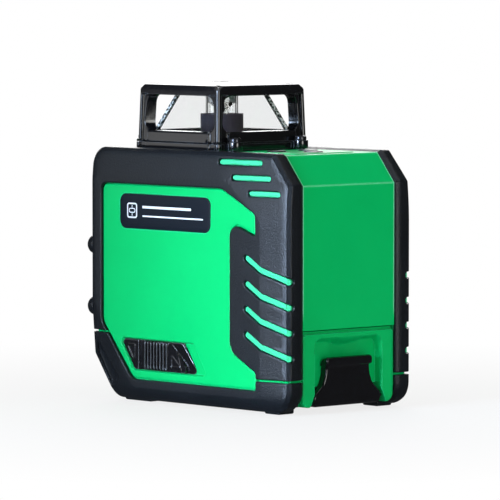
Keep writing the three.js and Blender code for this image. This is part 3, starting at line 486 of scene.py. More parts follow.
# ------------------------------------------------------------------ meshes
def make_piece(name, vertices, faces, body, material, slot, replaced=(), smooth_angle=40, mirror=False):
    """A mesh piece from points in millimetres, riding on a body and standing for CAD nodes."""
    vertices = np.array(vertices, float) * MM
    faces = [tuple(int(i) for i in f) for f in faces]
    if mirror:
        vertices = vertices * np.array([-1, 1, 1])
        faces = [f[::-1] for f in faces]
    mesh = bpy.data.meshes.new(name)
    mesh.from_pydata(vertices.tolist(), [], faces)
    mesh.validate()
    mesh.materials.append(material)
    piece = bpy.data.objects.new(name, mesh)
    scene.collection.objects.link(piece)
    bpy.context.view_layer.objects.active = piece
    piece.select_set(True)
    bpy.ops.object.shade_smooth_by_angle(angle=math.radians(smooth_angle))
    piece.select_set(False)
    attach(piece, body)
    if replaced:
        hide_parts(*replaced)


class Parts:
    """Collects several closed shells into one mesh."""

    def __init__(self):
        self.points, self.faces, self.count = [], [], 0

    def add(self, points, faces):
        points = np.array(points, float)
        self.points.append(points)
        self.faces += [tuple(int(i) + self.count for i in f) for f in faces]
        self.count += len(points)

    def get(self):
        return np.concatenate(self.points), self.faces


def triangulate(loops, keep, spacing, clearance=0.6):
    """Triangles over a flat region. The edges follow the loops, which are closed, or open as open_line makes them,
    and keep says which points are inside the region."""
    points, edges = [], []
    for loop in loops:
        closed = not isinstance(loop, tuple)
        line = loop if closed else loop[1]
        start = len(points)
        points += [tuple(p) for p in line]
        count = len(line)
        edges += [(start + i, start + i + 1) for i in range(count - 1)]
        if closed:
            edges.append((start + count - 1, start))
    border = np.array(points)
    low, high = border.min(0), border.max(0)
    us = np.arange(low[0], high[0], spacing)
    vs = np.arange(low[1], high[1], spacing * 0.866)
    grid = np.array([[u + (spacing / 2 if j % 2 else 0), v] for j, v in enumerate(vs) for u in us])
    grid = grid[keep(grid)]
    far = np.ones(len(grid), bool)
    for chunk in np.array_split(border, max(1, len(border) // 400)):
        gap = np.linalg.norm(grid[:, None, :] - chunk[None, :, :], axis=2).min(1)
        far &= gap > clearance * spacing
    every = [Vector(p) for p in points] + [Vector(p) for p in grid[far].tolist()]
    made = delaunay_2d_cdt(every, edges, [], 0, 1e-4, False)
    flat = np.array([v[:] for v in made[0]])
    faces = np.array([f for f in made[2] if len(f) == 3])
    faces = faces[keep(flat[faces].mean(1))]
    a, b, c = flat[faces[:, 0]], flat[faces[:, 1]], flat[faces[:, 2]]
    area = (b[:, 0] - a[:, 0]) * (c[:, 1] - a[:, 1]) - (c[:, 0] - a[:, 0]) * (b[:, 1] - a[:, 1])
    real = np.abs(area) > 1e-7
    faces, area = faces[real], area[real]
    faces[area < 0] = faces[area < 0][:, ::-1]
    used = np.unique(faces)
    remap = np.full(len(flat), -1)
    remap[used] = np.arange(len(used))
    return flat[used], remap[faces]


def close_shell(outer, inner, faces):
    """Joins an outer and an inner sheet that share their triangles, with walls along every open edge."""
    count = len(outer)
    directed = dict.fromkeys((f[i], f[(i + 1) % 3]) for f in faces for i in range(3))
    walls = [(a, b) for a, b in directed if (b, a) not in directed]
    every = [tuple(f) for f in faces] + [tuple(i + count for i in f[::-1]) for f in faces]
    every += [(a, a + count, b + count, b) for a, b in walls]
    return np.concatenate([outer, inner]), every


def smooth_step(x, low, high):
    t = np.clip((x - low) / (high - low), 0, 1)
    return t * t * (3 - 2 * t)


def round_edge(distance, radius):
    """How far a rounded edge drops at a distance from the edge, measured inwards over the surface."""
    t = np.clip(radius - distance, 0, radius)
    return radius - np.sqrt(np.maximum(radius * radius - t * t, 0))


LIP_STEPS = (0.12, 0.35, 0.65, 1.0, 1.6)  # where lines carry a rounded edge, in radii from it


def lip_loops(loop, radius):
    """Loops round a hole that carry its rounded edge."""
    return [loop] + [grow(loop, radius * k) for k in LIP_STEPS]


def height_shell(loops, outline, spacing, outer, inner, place):
    """A closed shell over a flat outline, between two height functions."""
    flat, faces = triangulate([outline] + loops, lambda points: inside(points, outline), spacing)
    return close_shell(place(flat, outer(flat)), place(flat, inner(flat)), faces)


def level(height):
    """A height function that is the same everywhere."""
    return lambda flat: np.full(len(flat), height)


def lathe(profile, origin, axis, sides=32):
    """A closed turned body. profile is [radius, along] from pole to pole, axis the direction of along."""
    axis = unit(np.array(axis, float))
    side = unit(np.cross(axis, [0, 0, 1] if abs(axis[2]) < 0.9 else [1, 0, 0]))
    other = np.cross(axis, side)
    points, faces, rings = [], [], []
    for r, h in profile:
        centre = np.array(origin) + axis * h
        turns = [2 * math.pi * k / sides for k in range(sides)] if r > 1e-6 else [0.0]
        rings.append(range(len(points), len(points) + len(turns)))
        points += [centre + r * (math.cos(a) * side + math.sin(a) * other) for a in turns]
    for low, high in zip(rings, rings[1:]):
        for k in range(sides):
            k1 = (k + 1) % sides
            if len(low) == 1:
                faces.append((high[k], high[k1], low[0]))
            elif len(high) == 1:
                faces.append((low[k], low[k1], high[0]))
            else:
                faces.append((low[k], low[k1], high[k1], high[k]))
    return np.array(points), faces


def rounded_block(low, high, radius):
    """A box with rounded edges, made from a bevelled cube."""
    bm = bmesh.new()
    bmesh.ops.create_cube(bm, size=1)
    low, high = np.array(low, float), np.array(high, float)
    for v in bm.verts:
        v.co = Vector((low + high) / 2 + np.array(v.co) * (high - low))
    bmesh.ops.bevel(bm, geom=bm.edges[:], offset=radius, segments=3, profile=0.5, affect="EDGES")
    points = np.array([v.co[:] for v in bm.verts])
    faces = [[v.index for v in f.verts] for f in bm.faces]
    bm.free()
    return points, faces


# ------------------------------------------------------------------ body sizes, close to the CAD model's
case_low, case_high = node_box("middle_casing")
CASE_Y = float((case_low + case_high)[1] / 2)
CASE_SHIFT = np.array([0, CASE_Y, 0])
HALF_LENGTH = 57.2
FRONT = 57.9
HALF_WIDTH = 35.0
FEET = 0.8
JACKET = 2.0
COVER_EDGE = 24.8
CREASE_Y = 42.7
PANEL_FACE = 34.2
# outlines of the side, its green panel, the crease in the rubber round it and the facet at the front foot
SIDE = [
    [-45.4, FEET, 6], [HALF_LENGTH, FEET, 9], [HALF_LENGTH, 89, 1.6], [47, 101, 1.6],
    [-FRONT, 101, 7], [-FRONT, 17.6, 3],
]
PANEL = [
    [-32.5, 9.1, 5], [40.1, 9.1, 1.2], [40.1, 15.9, 2], [25.2, 23.9, 7], [25.2, 74, 4], [39.8, 68.9, 0.5],
    [39.8, 77.4, 2.5], [20.6, 86.75, 10], [-50.9, 86.75, 3], [-50.9, 31.2, 6],
]
CREASE = [
    [-31.6, 5.9, 6], [39.6, 5.9, 3], [CREASE_Y, 11.0, 4], [CREASE_Y, 75.4, 5], [22.2, 90.3, 10], [-54.4, 90.3, 4],
    [-54.4, 38, 6], [-36.5, 10.5, 10],
]
FACET = [
    [-46.3, 5.2, 0.8], [-42.2, 6.9, 1.4], [-41.4, 9.7, 0.8], [-53.6, 23.2, 0.5], [-54.6, 22.6, 0.6], [-55.2, 18.6, 1.0],
]
FACET_VALLEY = [[-47.6, 7.5], [-44.4, 8.9], [-54.0, 19.5]]
FACET_DEPTH = 1.3
FACET_SLOPE = 2.6  # distance from the facet's upper edges to its valley
FRONT_SEAM = (26.7, 27.5)
REAR_SEAM = (12.8, 13.7)
CHAMFER = 1.5
LEAN = 0.14  # how far the rubber leans back outside the crease, per millimetre
CREASE_BLEND = 0.35
ROLL_TOP, ROLL_RADIUS = 6.4, 6.6  # the rubber rolls under below this height
PANEL_RIM, SLOT_RIM = 0.55, 0.4  # radii of the rubber's rims
GRIP_SLOTS = (60.9, 50.9, 41.1, 31.2)
VENT_SLOTS = ((19.0, 40.4, 97.2), (27.0, 45.4, 91.3), (36.4, 50.8, 85.4))
SLOT_HALF = 1.35
NUBS = (36.8, 61.5)
NUB_PROFILE = [[0, -1.0], [4.1, -1.0], [4.2, 0.05], [4.05, 0.25], [3.95, 0.7], [3.9, 1.6], [3.65, 2.5], [3.1, 3.25],
               [2.2, 3.75], [1.1, 3.95], [0, 4.0]]
NUB_X = 30.7
FOOT_PADS = ((-41.5, -26), (40.5, 49.0))

SIDE_FLAT = corner_loop(inset(SIDE, CHAMFER), 0.6)
PANEL_LOOP = densify(corner_loop(PANEL, 0.45), 1.2)
CREASE_LOOP = corner_loop(CREASE, 0.6)
FACET_LOOP = corner_loop(FACET, 0.4)
# edge of the side face seen in section: [outward from the flat, x relative to the flat], then the wall
EDGE_CORNERS = [[-20, 0, 0], [0.0, 0.0, 0.5], [CHAMFER, -CHAMFER, 0.55], [CHAMFER, -30, 0], [-20, -30, 0]]
EDGE_PATH = densify(corner_loop(EDGE_CORNERS, 0.12)[1:-1], 0.25, closed=False)
EDGE_PATH = EDGE_PATH[(EDGE_PATH[:, 0] > -0.02)]
EDGE_ARC = np.concatenate([[0], np.cumsum(np.linalg.norm(np.diff(EDGE_PATH, axis=0), axis=1))])
WALL_START = 2.2  # arc length at which the wall begins
WRAP = 9.6  # arc length from the flat to the jacket's inner edge
LIP_START = WRAP - 2.0


def face_height(points):
    """X of the rubber's outer face: level round the panel, leaning back outside the crease, rolling under below."""
    c = signed(points, CREASE_LOOP)
    near = np.where(c > -CREASE_BLEND, (c + CREASE_BLEND) ** 2 / (4 * CREASE_BLEND), 0)
    outside = np.where(c > CREASE_BLEND, c, near)
    low = np.clip(ROLL_TOP - points[:, 1], 0, 6.2)
    roll = ROLL_RADIUS - np.sqrt(ROLL_RADIUS ** 2 - low ** 2)
    return HALF_WIDTH - LEAN * outside - roll * smooth_step(c, -0.5, 1.0)


def wrap(points, depth=0.0, drop=0.0, sink=0.0):
    """Domain points (y, z) to 3-D: inside the flat they lie on the side face, outside it they go over the edge
    and along the wall. depth moves the sheet inwards, drop moves single points inwards, sink the wall's end."""
    d, spot, along = nearest_on(points, SIDE_FLAT)
    within = inside(points, SIDE_FLAT)
    d = np.where(within, 0, d)
    spot = np.where(within[:, None], points, spot)
    out = np.where(within[:, None], 0, points - spot)
    length = np.linalg.norm(out, axis=1)
    outward = np.where(length[:, None] > 1e-9, out / np.maximum(length, 1e-9)[:, None],
                       np.stack([along[:, 1], -along[:, 0]], 1))
    base = face_height(spot)

    def edge(at, column):
        return np.interp(at, EDGE_ARC, EDGE_PATH[:, column])

    def slope(column, on_flat, step=0.04):
        return np.where(within, on_flat, (edge(d + step, column) - edge(d - step, column)) / (2 * step))

    t = np.clip((d - WALL_START) / (WRAP - WALL_START), 0, 1)
    at_wall = base + edge(WALL_START, 1)
    x = np.where(d > WALL_START, at_wall + (COVER_EDGE - at_wall) * t, base + edge(d, 1))
    # normal in the (outward, x) plane
    n_o, n_x = -slope(1, 0.0), slope(0, 1.0)
    size = np.maximum(np.hypot(n_o, n_x), 1e-9)
    move = depth + drop + sink * smooth_step(d, LIP_START, WRAP - 0.3)
    o = edge(d, 0) - n_o / size * move
    return np.column_stack([x - n_x / size * move, spot + outward * o[:, None]])


def ring_loop(d, step=1.4):
    """Loop of the domain at a distance outside the flat."""
    return densify(corner_loop(inset(SIDE, CHAMFER - d), 0.7), step)


# ------------------------------------------------------------------ rubber jackets
def slot_loops(grip_half, vent_half):
    """Round-ended slots in the upper jacket: four that run round the rear corner, three short ones above."""
    rear = HALF_LENGTH
    chains = [[[34.9, z - 0.6], [CREASE_Y, z - 5.0], [rear - 0.2, z - 9.0], [rear + 0.9, z - 9.0]] for z in GRIP_SLOTS]
    return ([capsule(chain, grip_half) for chain in chains]
            + [capsule([[y0, z], [y1, z]], vent_half) for y0, y1, z in VENT_SLOTS])


SLOTS = slot_loops(SLOT_HALF, SLOT_HALF - 0.2)


def facet_depth(flat):
    """Sunken facet at the jacket's front foot: a slope down from its upper edges to a valley, then a gentle rise."""
    corners = np.array(FACET)[:, :2]
    high = nearest_on(flat, corners[:4], closed=False)[0]
    low = nearest_on(flat, corners[[3, 4, 5, 0]], closed=False)[0]
    depth = np.where(high < FACET_SLOPE, FACET_DEPTH * high / FACET_SLOPE, FACET_DEPTH - 0.22 * (high - FACET_SLOPE))
    return np.where(inside(flat, FACET_LOOP), depth * smooth_step(low, 0.0, 0.5), 0)


def jacket_shell(upper):
    """One rubber jacket as a closed shell: rounded rims round the panel, the slots and the seams."""
    rim = ring_loop(WRAP)
    holes = SLOTS if upper else []
    # height of the jacket's edge at each seam, and the stretch of y where it runs
    front, rear = FRONT_SEAM[int(upper)], REAR_SEAM[int(upper)]
    seams = ((front, -72, -43), (rear, 30, 72))

    def keep(points):
        y, z = points[:, 0], points[:, 1]
        good = inside(points, rim) & ~inside(points, PANEL_LOOP)
        seam = np.where(y < 0, front, rear)
        good &= (z > seam) if upper else (z < seam)
        for hole in holes:
            good &= ~inside(points, hole)
        return good

    loops = [rim] + [ring_loop(d) for d in (WRAP - 0.35, LIP_START, LIP_START + 1.0, WALL_START + 1.2)]
    loops += [ring_loop(d, 1.0) for d in np.concatenate([[0.0], np.linspace(0.15, WALL_START, 9)])]
    loops += lip_loops(PANEL_LOOP, PANEL_RIM)
    for hole in holes:
        loops += lip_loops(hole, SLOT_RIM)
    loops += [densify(grow(CREASE_LOOP, k), 1.4) for k in (-0.4, 0.0, 0.4)]
    if not upper:
        loops += [FACET_LOOP] + [grow(FACET_LOOP, k) for k in (0.3, -0.25, -0.5)]
        loops.append(open_line(FACET_VALLEY, 0.8))
    away = SLOT_RIM if upper else -SLOT_RIM
    for seam, y0, y1 in seams:
        for k in (0.0, *LIP_STEPS):
            z = seam + away * k
            loops.append(open_line([[y0, z], [y1, z]], 1.0))
    flat, faces = triangulate(loops, keep, 2.2)
    drop = round_edge(nearest_on(flat, PANEL_LOOP)[0], PANEL_RIM)
    for hole in holes:
        drop = np.maximum(drop, round_edge(nearest_on(flat, hole)[0], SLOT_RIM))
    for seam, y0, _ in seams:
        near = np.where((flat[:, 0] < 0) == (y0 < 0), np.abs(flat[:, 1] - seam), 99)
        drop = np.maximum(drop, round_edge(near, SLOT_RIM))
    if not upper:
        drop = drop + facet_depth(flat)
    outer = wrap(flat, 0.0, drop, sink=0.85)
    inner = wrap(flat, JACKET - 0.3)
    return close_shell(outer + CASE_SHIFT, inner + CASE_SHIFT, faces)


def build_jackets():
    upper, lower = Parts(), Parts()
    upper.add(*jacket_shell(True))
    lower.add(*jacket_shell(False))
    for z in NUBS:
        upper.add(*lathe(NUB_PROFILE, np.array([NUB_X, -HALF_LENGTH, z]) + CASE_SHIFT, (0, -1, 0)))
    for y0, y1 in FOOT_PADS:
        lower.add(*rounded_block([22.2, y0 + CASE_Y, 0], [30.6, y1 + CASE_Y, 2.4], 0.8))
    for side in ("right", "left"):
        for half, parts in (("upper", upper), ("lower", lower)):
            make_piece(f"{half}_jacket_{side}_rubber", *parts.get(), "housing", RUBBER, "rubber",
                       [f"{half}_jacket_{side}"], mirror=side == "left")


# ------------------------------------------------------------------ green side covers
SLIDER = {"y0": -40.2, "y1": -3.0, "z0": 12.9, "z1": 25.0, "slant": 8.2, "travel": 6.0, "radius": 1.5}
LABEL = box_corners(-39.9, 69.0, 13.6, 82.9, 3.4)
PANEL_RISE = PANEL_FACE - (HALF_WIDTH - JACKET)
PANEL_EDGE = 0.8
RECESS_DEPTH = 1.75
RECESS_LIP = 0.45
RECESS_REACH = 6.0  # the panel's crown fades out this far from the recess


def slider_outline(grown, travel=0.0):
    s, r = SLIDER, SLIDER["radius"]
    return [
        [s["y0"] - grown, s["z1"] + grown, r], [s["y0"] + s["slant"] - grown, s["z0"] - grown, r],
        [s["y1"] + s["slant"] + grown + travel, s["z0"] - grown, r], [s["y1"] + grown + travel, s["z1"] + grown, r],
    ]


def cover_shell(has_lock):
    """A side cover: a raised, slightly crowned panel, with the slider's recess and the label's seat on one side."""
    panel = densify(corner_loop(inset(PANEL, 0.25), 0.45), 1.2)
    recess = densify(corner_loop(slider_outline(0.3, SLIDER["travel"]), 0.3), 0.9)
    label = densify(corner_loop(inset(LABEL, -0.15), 0.35), 1.2)
    rim = ring_loop(WRAP)
    loops = [rim, ring_loop(WALL_START + 2.5)] + [ring_loop(d, 1.2) for d in np.linspace(0, WALL_START, 7)]
    loops += [panel] + [grow(panel, -k) for k in (0.06, 0.14, 0.28, 0.5, 0.86, 1.2)]
    if has_lock:
        loops += [recess] + [grow(recess, k) for k in (-0.9, -0.45, -0.12, 0.06, 0.2, 0.45, 0.8)]
        loops += [label, grow(label, 0.12), grow(label, -0.12)]
    loops += [densify(grow(CREASE_LOOP, k), 1.6) for k in (-0.4, 0.4)]
    flat, faces = triangulate(loops, lambda points: inside(points, rim), 2.2)
    d = -signed(flat, panel)
    edge = np.where(d < 0.03, 0, PANEL_RISE - round_edge(np.maximum(d - 0.06, 0), PANEL_EDGE))
    rise = edge + 0.4 * smooth_step(d, 0.8, 22) * (d > 0)
    if has_lock:
        e = signed(flat, recess)  # negative inside the recess
        lip = round_edge(np.maximum(e, 0), RECESS_LIP) * (e < RECESS_LIP)
        depth = np.where(e > 0, lip, RECESS_LIP + (RECESS_DEPTH - RECESS_LIP) * smooth_step(-e, 0.0, 0.5))
        blend = smooth_step(e, 0.0, RECESS_REACH)
        rise = np.where(e < RECESS_REACH, PANEL_RISE + (rise - PANEL_RISE) * blend, rise)
        rise = np.where(d > 0.9, rise, edge) - depth - 0.3 * smooth_step(-signed(flat, label), -0.12, 0.12)
    outer = wrap(flat, JACKET, -rise)
    inner = wrap(flat, JACKET + 2.0)
    return close_shell(outer + CASE_SHIFT, inner + CASE_SHIFT, faces)


def build_covers():
    for side in ("right", "left"):
        make_piece(f"side_cover_{side}_shell", *cover_shell(side == "right"), "housing", GREEN, "green_plastic",
                   [f"side_cover_{side}"], mirror=side == "left")


def strip_shell(loop):
    """A strip whose crown stands in a slot and whose rim lies under the jacket."""
    rings = [grow(loop, -k) for k in (0.25, 0.5, 0.55, 0.62, 0.7)]
    flat, faces = triangulate([loop] + rings, lambda points: inside(points, loop), 0.6)
    depth = -signed(flat, loop)
    crown = 0.15 * smooth_step(depth, 0.0, 0.4) + 0.95 * smooth_step(depth, 0.48, 0.72)
    return close_shell(wrap(flat, JACKET - 0.1, -crown) + CASE_SHIFT, wrap(flat, JACKET + 0.3) + CASE_SHIFT, faces)


def build_slot_strips():
    """Pale strips in the jacket's slots, a little proud of the cover."""
    parts = Parts()
    for loop in slot_loops(SLOT_HALF + 0.35, SLOT_HALF + 0.15):
        parts.add(*strip_shell(loop))
    for side in ("right", "left"):
        make_piece(f"slot_strips_{side}", *parts.get(), "housing", MINT, "green_plastic", mirror=side == "left")


# ------------------------------------------------------------------ lock slider and label
KNOB_FACE, KNOB_LOWEST, KNOB_BACK = 33.75, 32.74, 32.66
LABEL_FACE, LABEL_BACK = 34.34, 33.96
MARK_FACE, MARK_BACK = 34.38, 34.30


def on_side(flat, x):
    return np.column_stack([x, flat[:, 0], flat[:, 1]]) + CASE_SHIFT


def ridge(flat, loop, half):
    """1 on a thin line round a loop, falling to 0 beside it."""
    return 1 - smooth_step(nearest_on(flat, loop)[0], 0.0, half)


def build_slider():
    outline = densify(corner_loop(slider_outline(-0.05), 0.3), 0.6)
    front_mark = corner_loop([[-36.3, 22.6, 0.3], [-32.2, 16.6, 0.3], [-31.8, 22.6, 0.3]], 0.3)
    rear_mark = corner_loop([[-9.9, 15.0, 0.3], [-4.4, 15.0, 0.3], [-9.9, 19.6, 0.3]], 0.3)
    step_line = np.array([[-9.3, 30.0], [-9.3, 23.9], [-1.4, 15.6], [-1.4, 5.0]])
    ribs = np.linspace(-25.3, -12.4, 8)
    rib_half = 0.62

    def outer(flat):
        y, z = flat[:, 0], flat[:, 1]
        # lower plane behind a slanted step
        beyond = np.where(y > -9.3, np.where(y > -1.4, 1.0, z - (23.9 + (y + 9.3) * (15.6 - 23.9) / 7.9)), -1.0)
        side = smooth_step(beyond, 0.0, 0.35) * (y > -9.3)
        x = KNOB_FACE - (0.62 - 0.12 * (z - 19)) * side
        x = x + 0.12 * ridge(flat, step_line, 0.35) * (1 - side)
        # finger grip: a groove, then upright ribs on a low swell
        x = x - 0.85 * smooth_step(y, -29.3, -29.0) * smooth_step(-y, 26.4, 26.7)
        x = x + 0.14 * np.exp(-((y + 29.6) / 0.28) ** 2)
        grip = smooth_step(y, -26.6, -26.2) * smooth_step(-y, 11.6, 11.9)
        grip = grip * smooth_step(z, 13.3, 14.2) * smooth_step(-z, -24.7, -24.0)
        swell = 0.28 * np.sin(np.clip((y + 26.4) / 14.8, 0, 1) * math.pi)
        comb = np.zeros(len(flat))
        for rib in ribs:
            comb = np.maximum(comb, np.clip(1 - ((y - rib) / rib_half) ** 2, 0, 1))
        x = x + grip * (swell + 0.78 * np.sqrt(comb) - 0.25)
        for mark in (front_mark, rear_mark):
            x = x + 0.26 * ridge(flat, mark, 0.32)
        return np.maximum(x - round_edge(-signed(flat, outline), 0.45), KNOB_LOWEST)

    lines = [front_mark, rear_mark, grow(outline, -0.15), grow(outline, -0.45)]
    lines += [open_line([[y, 13.6], [y, 24.5]], 0.5) for y in (-29.3, -29.0, -26.6, -26.2, -11.9, -11.6)]
    lines.append(open_line(step_line[1:3], 0.4))
    for rib in ribs:
        lines += [open_line([[rib + k, 14.3], [rib + k, 23.9]], 0.6)
                  for k in (-rib_half, -0.54, -0.3, 0.0, 0.3, 0.54, rib_half)]
    make_piece("lock_slider_knob", *height_shell(lines, outline, 0.34, outer, level(KNOB_BACK), on_side),
               "lock_slider", KNOB_BLACK, "black_plastic", ["lock_slider"], smooth_angle=50)


def build_label():
    """A dark name plate that carries only a level symbol and two plain bars."""
    outline = densify(corner_loop(LABEL, 0.35), 1.0)

    def outer(flat):
        return LABEL_FACE - round_edge(-signed(flat, outline), 0.25)

    lines = [grow(outline, -0.1), grow(outline, -0.25)]
    make_piece("label_plate_face", *height_shell(lines, outline, 3.0, outer, level(LABEL_BACK), on_side),
               "housing", LABEL_DARK, "dark_plastic", ["label_plate"])
    marks = Parts()

    def bar(y0, y1, z0, z1):
        loop = corner_loop(box_corners(y0, z0, y1, z1, 0.2), 0.2)
        marks.add(*height_shell([], loop, 2.0, level(MARK_FACE), level(MARK_BACK), on_side))

    def frame_loop(corners, width):
        outside, within = corner_loop(corners, 0.3), corner_loop(inset(corners, width), 0.3)
        flat, faces = triangulate([outside, within],
                                  lambda points: inside(points, outside) & ~inside(points, within), 1.0)
        sheets = [on_side(flat, level(x)(flat)) for x in (MARK_FACE, MARK_BACK)]
        marks.add(*close_shell(*sheets, faces))

    # a spirit level: a vial in a square frame with two upright lines
    frame_loop(box_corners(-35.6, 73.2, -29.6, 79.3, 1.2), 0.6)
    frame_loop(box_corners(-34.5, 75.3, -30.7, 77.2, 0.9), 0.35)
    bar(-32.75, -32.45, 74.0, 75.3)
    bar(-32.75, -32.45, 77.2, 78.5)
    bar(-26.4, 2.4, 77.3, 78.3)
    bar(-26.4, 9.4, 73.9, 74.5)
    make_piece("label_marks", *marks.get(), "housing", PRINT, "dark_plastic")


# ------------------------------------------------------------------ battery door and latch
DOOR_HALF = 24.4
DOOR_FLOOR = 2.6
DOOR_TOP = 32.2
DOOR_STEP = 31.0  # the door steps in above this height
REAR = 56.1
HINGE_Y, HINGE_Z, HINGE_RADIUS = 54.2, 30.3, 1.9  # the door's round top edge
POCKET_FLOOR = 52.6
NOTCH_TOP = 10.4
LEG_RADIUS = 3.5


def on_rear(flat, y):
    return np.column_stack([flat[:, 0], y, flat[:, 1]]) + CASE_SHIFT


def pocket_corners(k):
    """The pocket in the door, grown by k."""
    half, top, radius = 17.9 + k, 29.2 + k, 3.2 + k * 0.5
    return [[-half, -6, 0], [half, -6, 0], [half, top, radius], [-half, top, radius]]


def build_door():
    """Battery door: a frame round a pocket with drafted walls and a finger scoop, open below the latch."""
    half, floor, top = DOOR_HALF, DOOR_FLOOR, DOOR_TOP - 0.04
    # the notch between the two legs of the door, walked clockwise at its inner corners
    rim = [[-half, floor, LEG_RADIUS], [-20.5, floor, 0.3], [-17.9, 8.4, 4.5], [-17.8, NOTCH_TOP, 0.2],
           [17.8, NOTCH_TOP, 0.2], [17.9, 8.4, 4.5], [20.5, floor, 0.3], [half, floor, LEG_RADIUS],
           [half, top, 0.3], [-half, top, 0.3]]
    outline = densify(corner_loop(rim, 0.4), 0.9)
    pocket = densify(corner_loop(pocket_corners(0), 0.4), 0.9)
    edge = [[-half, floor, LEG_RADIUS], [half, floor, LEG_RADIUS], [half, 40, 0], [-half, 40, 0]]
    edge = densify(corner_loop(edge, 0.4), 0.9)

    def lobe_reach(z):
        return np.sqrt(np.maximum(HINGE_RADIUS ** 2 - np.clip(z - HINGE_Z, 0, HINGE_RADIUS) ** 2, 0))

    def outer(flat):
        x, z = flat[:, 0], flat[:, 1]
        y = np.where(z > DOOR_STEP, 54.75, REAR - round_edge(DOOR_STEP - z, 0.3))
        y = np.where(z > HINGE_Z, np.minimum(y, HINGE_Y + lobe_reach(z)), y)
        y = y - round_edge(-signed(flat, edge), 0.9)
        p = -signed(flat, pocket)  # positive inside the pocket
        bay = np.clip(1 - (x / 9.0) ** 2, 0, 1)
        # the top wall slopes more than the side walls, most of all over the scoop
        run = 0.55 + (1.2 + 1.7 * bay) * smooth_step(z, 22, 28)
        wall = np.clip((p + 0.2) / run, 0, 1)
        depth = (REAR - POCKET_FLOOR) * (0.35 * wall * wall * (3 - 2 * wall) + 0.65 * wall)
        scoop = 1.25 * np.cos(np.clip(x / 8.8, -1, 1) * math.pi / 2) ** 2 * smooth_step(z, 11.5, 15)
        return y - depth - scoop * smooth_step(p, 0.3 * run, 1.1 * run)

    def inner(flat):
        z = flat[:, 1]
        lower = np.where(z > 26.3, 51 + (z - 26.3) / 1.4 * 1.3, 51.0)
        return np.where(z > 27.7, HINGE_Y - lobe_reach(z), lower)

    lines = [grow(edge, -k) for k in (0.12, 0.3, 0.55, 0.9)]
    lines = [opened(line[line[:, 1] < 31.8]) for line in lines]
    for k in (0.35, 0.1, -0.15, -0.45, -0.8, -1.2, -1.7):
        loop = densify(corner_loop(pocket_corners(k), 0.4), 0.8)
        lines.append(opened(loop[loop[:, 1] > (11.0 if k < -0.2 else floor + 0.9)]))
    for z in (30.3, 30.7, 30.8, 30.9, 30.96, 31.0, 31.03, 31.5, 32.0):
        lines.append(open_line([[-half + 1.1, z], [half - 1.1, z]], 1.0))
    make_piece("battery_door_panel", *height_shell(lines, outline, 0.9, outer, inner, on_rear), "battery_door", GREEN,
               "green_plastic", ["battery_door"], smooth_angle=50)


def build_latch():
    """Bell-shaped latch: a rounded lip on top, a waist, and a wide foot that wraps under the door."""
    corners = [[-17.5, 2.5, 1.8], [17.5, 2.5, 1.8], [18.4, 6.3, 2.4], [13.3, 11.0, 4.5], [12.0, 14.6, 7.0],
               [11.7, 17.9, 0.5], [12.4, 18.4, 0.6], [12.4, 21.7, 1.5], [-12.4, 21.7, 1.5], [-12.4, 18.4, 0.6],
               [-11.7, 17.9, 0.5], [-12.0, 14.6, 7.0], [-13.3, 11.0, 4.5], [-18.4, 6.3, 2.4]]
    outline = densify(corner_loop(corners, 0.25), 0.6)
    # section through the latch, as [z, y] up its outer and its inner face
    front = np.array([[2.5, 54.6], [2.75, 55.25], [3.2, 55.65], [4.0, 55.85], [8, 56.0], [17.4, 55.9], [17.9, 56.05],
                      [18.3, 56.7], [18.8, 57.0], [20.7, 57.0], [21.2, 56.85], [21.55, 56.4], [21.7, 55.9]])
    back = np.array([[2.5, 53.0], [2.7, 52.0], [3.2, 51.6], [5.4, 51.8], [7.0, 52.5], [9.0, 52.8], [17.6, 52.8],
                     [19.2, 53.2], [20.3, 53.8], [21.1, 54.6], [21.7, 55.7]])
    pivot = [[0, 0], [0.7, 0], [0.8, 0.1], [0.8, 3.0], [0.65, 3.15], [0, 3.15]]

    def inner(flat):
        return np.interp(flat[:, 1], back[:, 0], back[:, 1])

    def outer(flat):
        z = flat[:, 1]
        y = np.interp(z, front[:, 0], front[:, 1])
        sideways = np.where((z > 3.4) & (z < 21.2), 1.0, 0.4)
        rounded = np.minimum(round_edge(-signed(flat, outline), 0.9) * sideways, 0.7 * (y - inner(flat)))
        return y - rounded - 0.12 * smooth_step(np.abs(flat[:, 0]), 0, 16)

    lines = [grow(outline, -k) for k in (0.06, 0.2, 0.42, 0.65, 0.9)]
    lines += [open_line([[-9.9, z], [9.9, z]], 0.8) for z in (17.4, 17.9, 18.3, 18.8)]
    parts = Parts()
    parts.add(*height_shell(lines, outline, 0.7, outer, inner, on_rear))
    for side in (-1, 1):
        parts.add(*lathe(pivot, np.array([side * 16.3, 53.9, 5.4]) + CASE_SHIFT, (side, 0, 0), 16))
    make_piece("battery_latch_lever", *parts.get(), "battery_latch", BLACK, "black_plastic", ["battery_latch"],
               smooth_angle=55)


# ------------------------------------------------------------------ lantern
HEAD_Y = -15.2
HEAD = np.array([0, HEAD_Y, 0.0])
LANTERN_LOW, LANTERN_HIGH = 100.8, 126.3
LANTERN_HALF = 24.1
FOOT_TOP = 103.6
RIB_AT, RIB_RADIUS = 22.85, 1.15  # distance of a corner rib from the axis in x and y, and its radius
MITRE = RIB_AT + RIB_RADIUS * math.sqrt(0.5)
HALF_TOP_INSET = LANTERN_HALF - (RIB_AT + RIB_RADIUS)
GLASS_LOW, GLASS_HIGH = 107.05, 122.7
UPRIGHTS = (18.1, 18.25, 18.5, 18.8, 19.1, 21.3, 21.5, 21.7, 21.75, 21.85, 22.05, 22.4, 22.75, 23.1, 23.4)
LEVELS = (102.9, 103.15, 103.3, 103.45, 103.6, 103.8, 122.2, 122.4, 122.6, 125.1, 125.5, 125.85, 126.1)


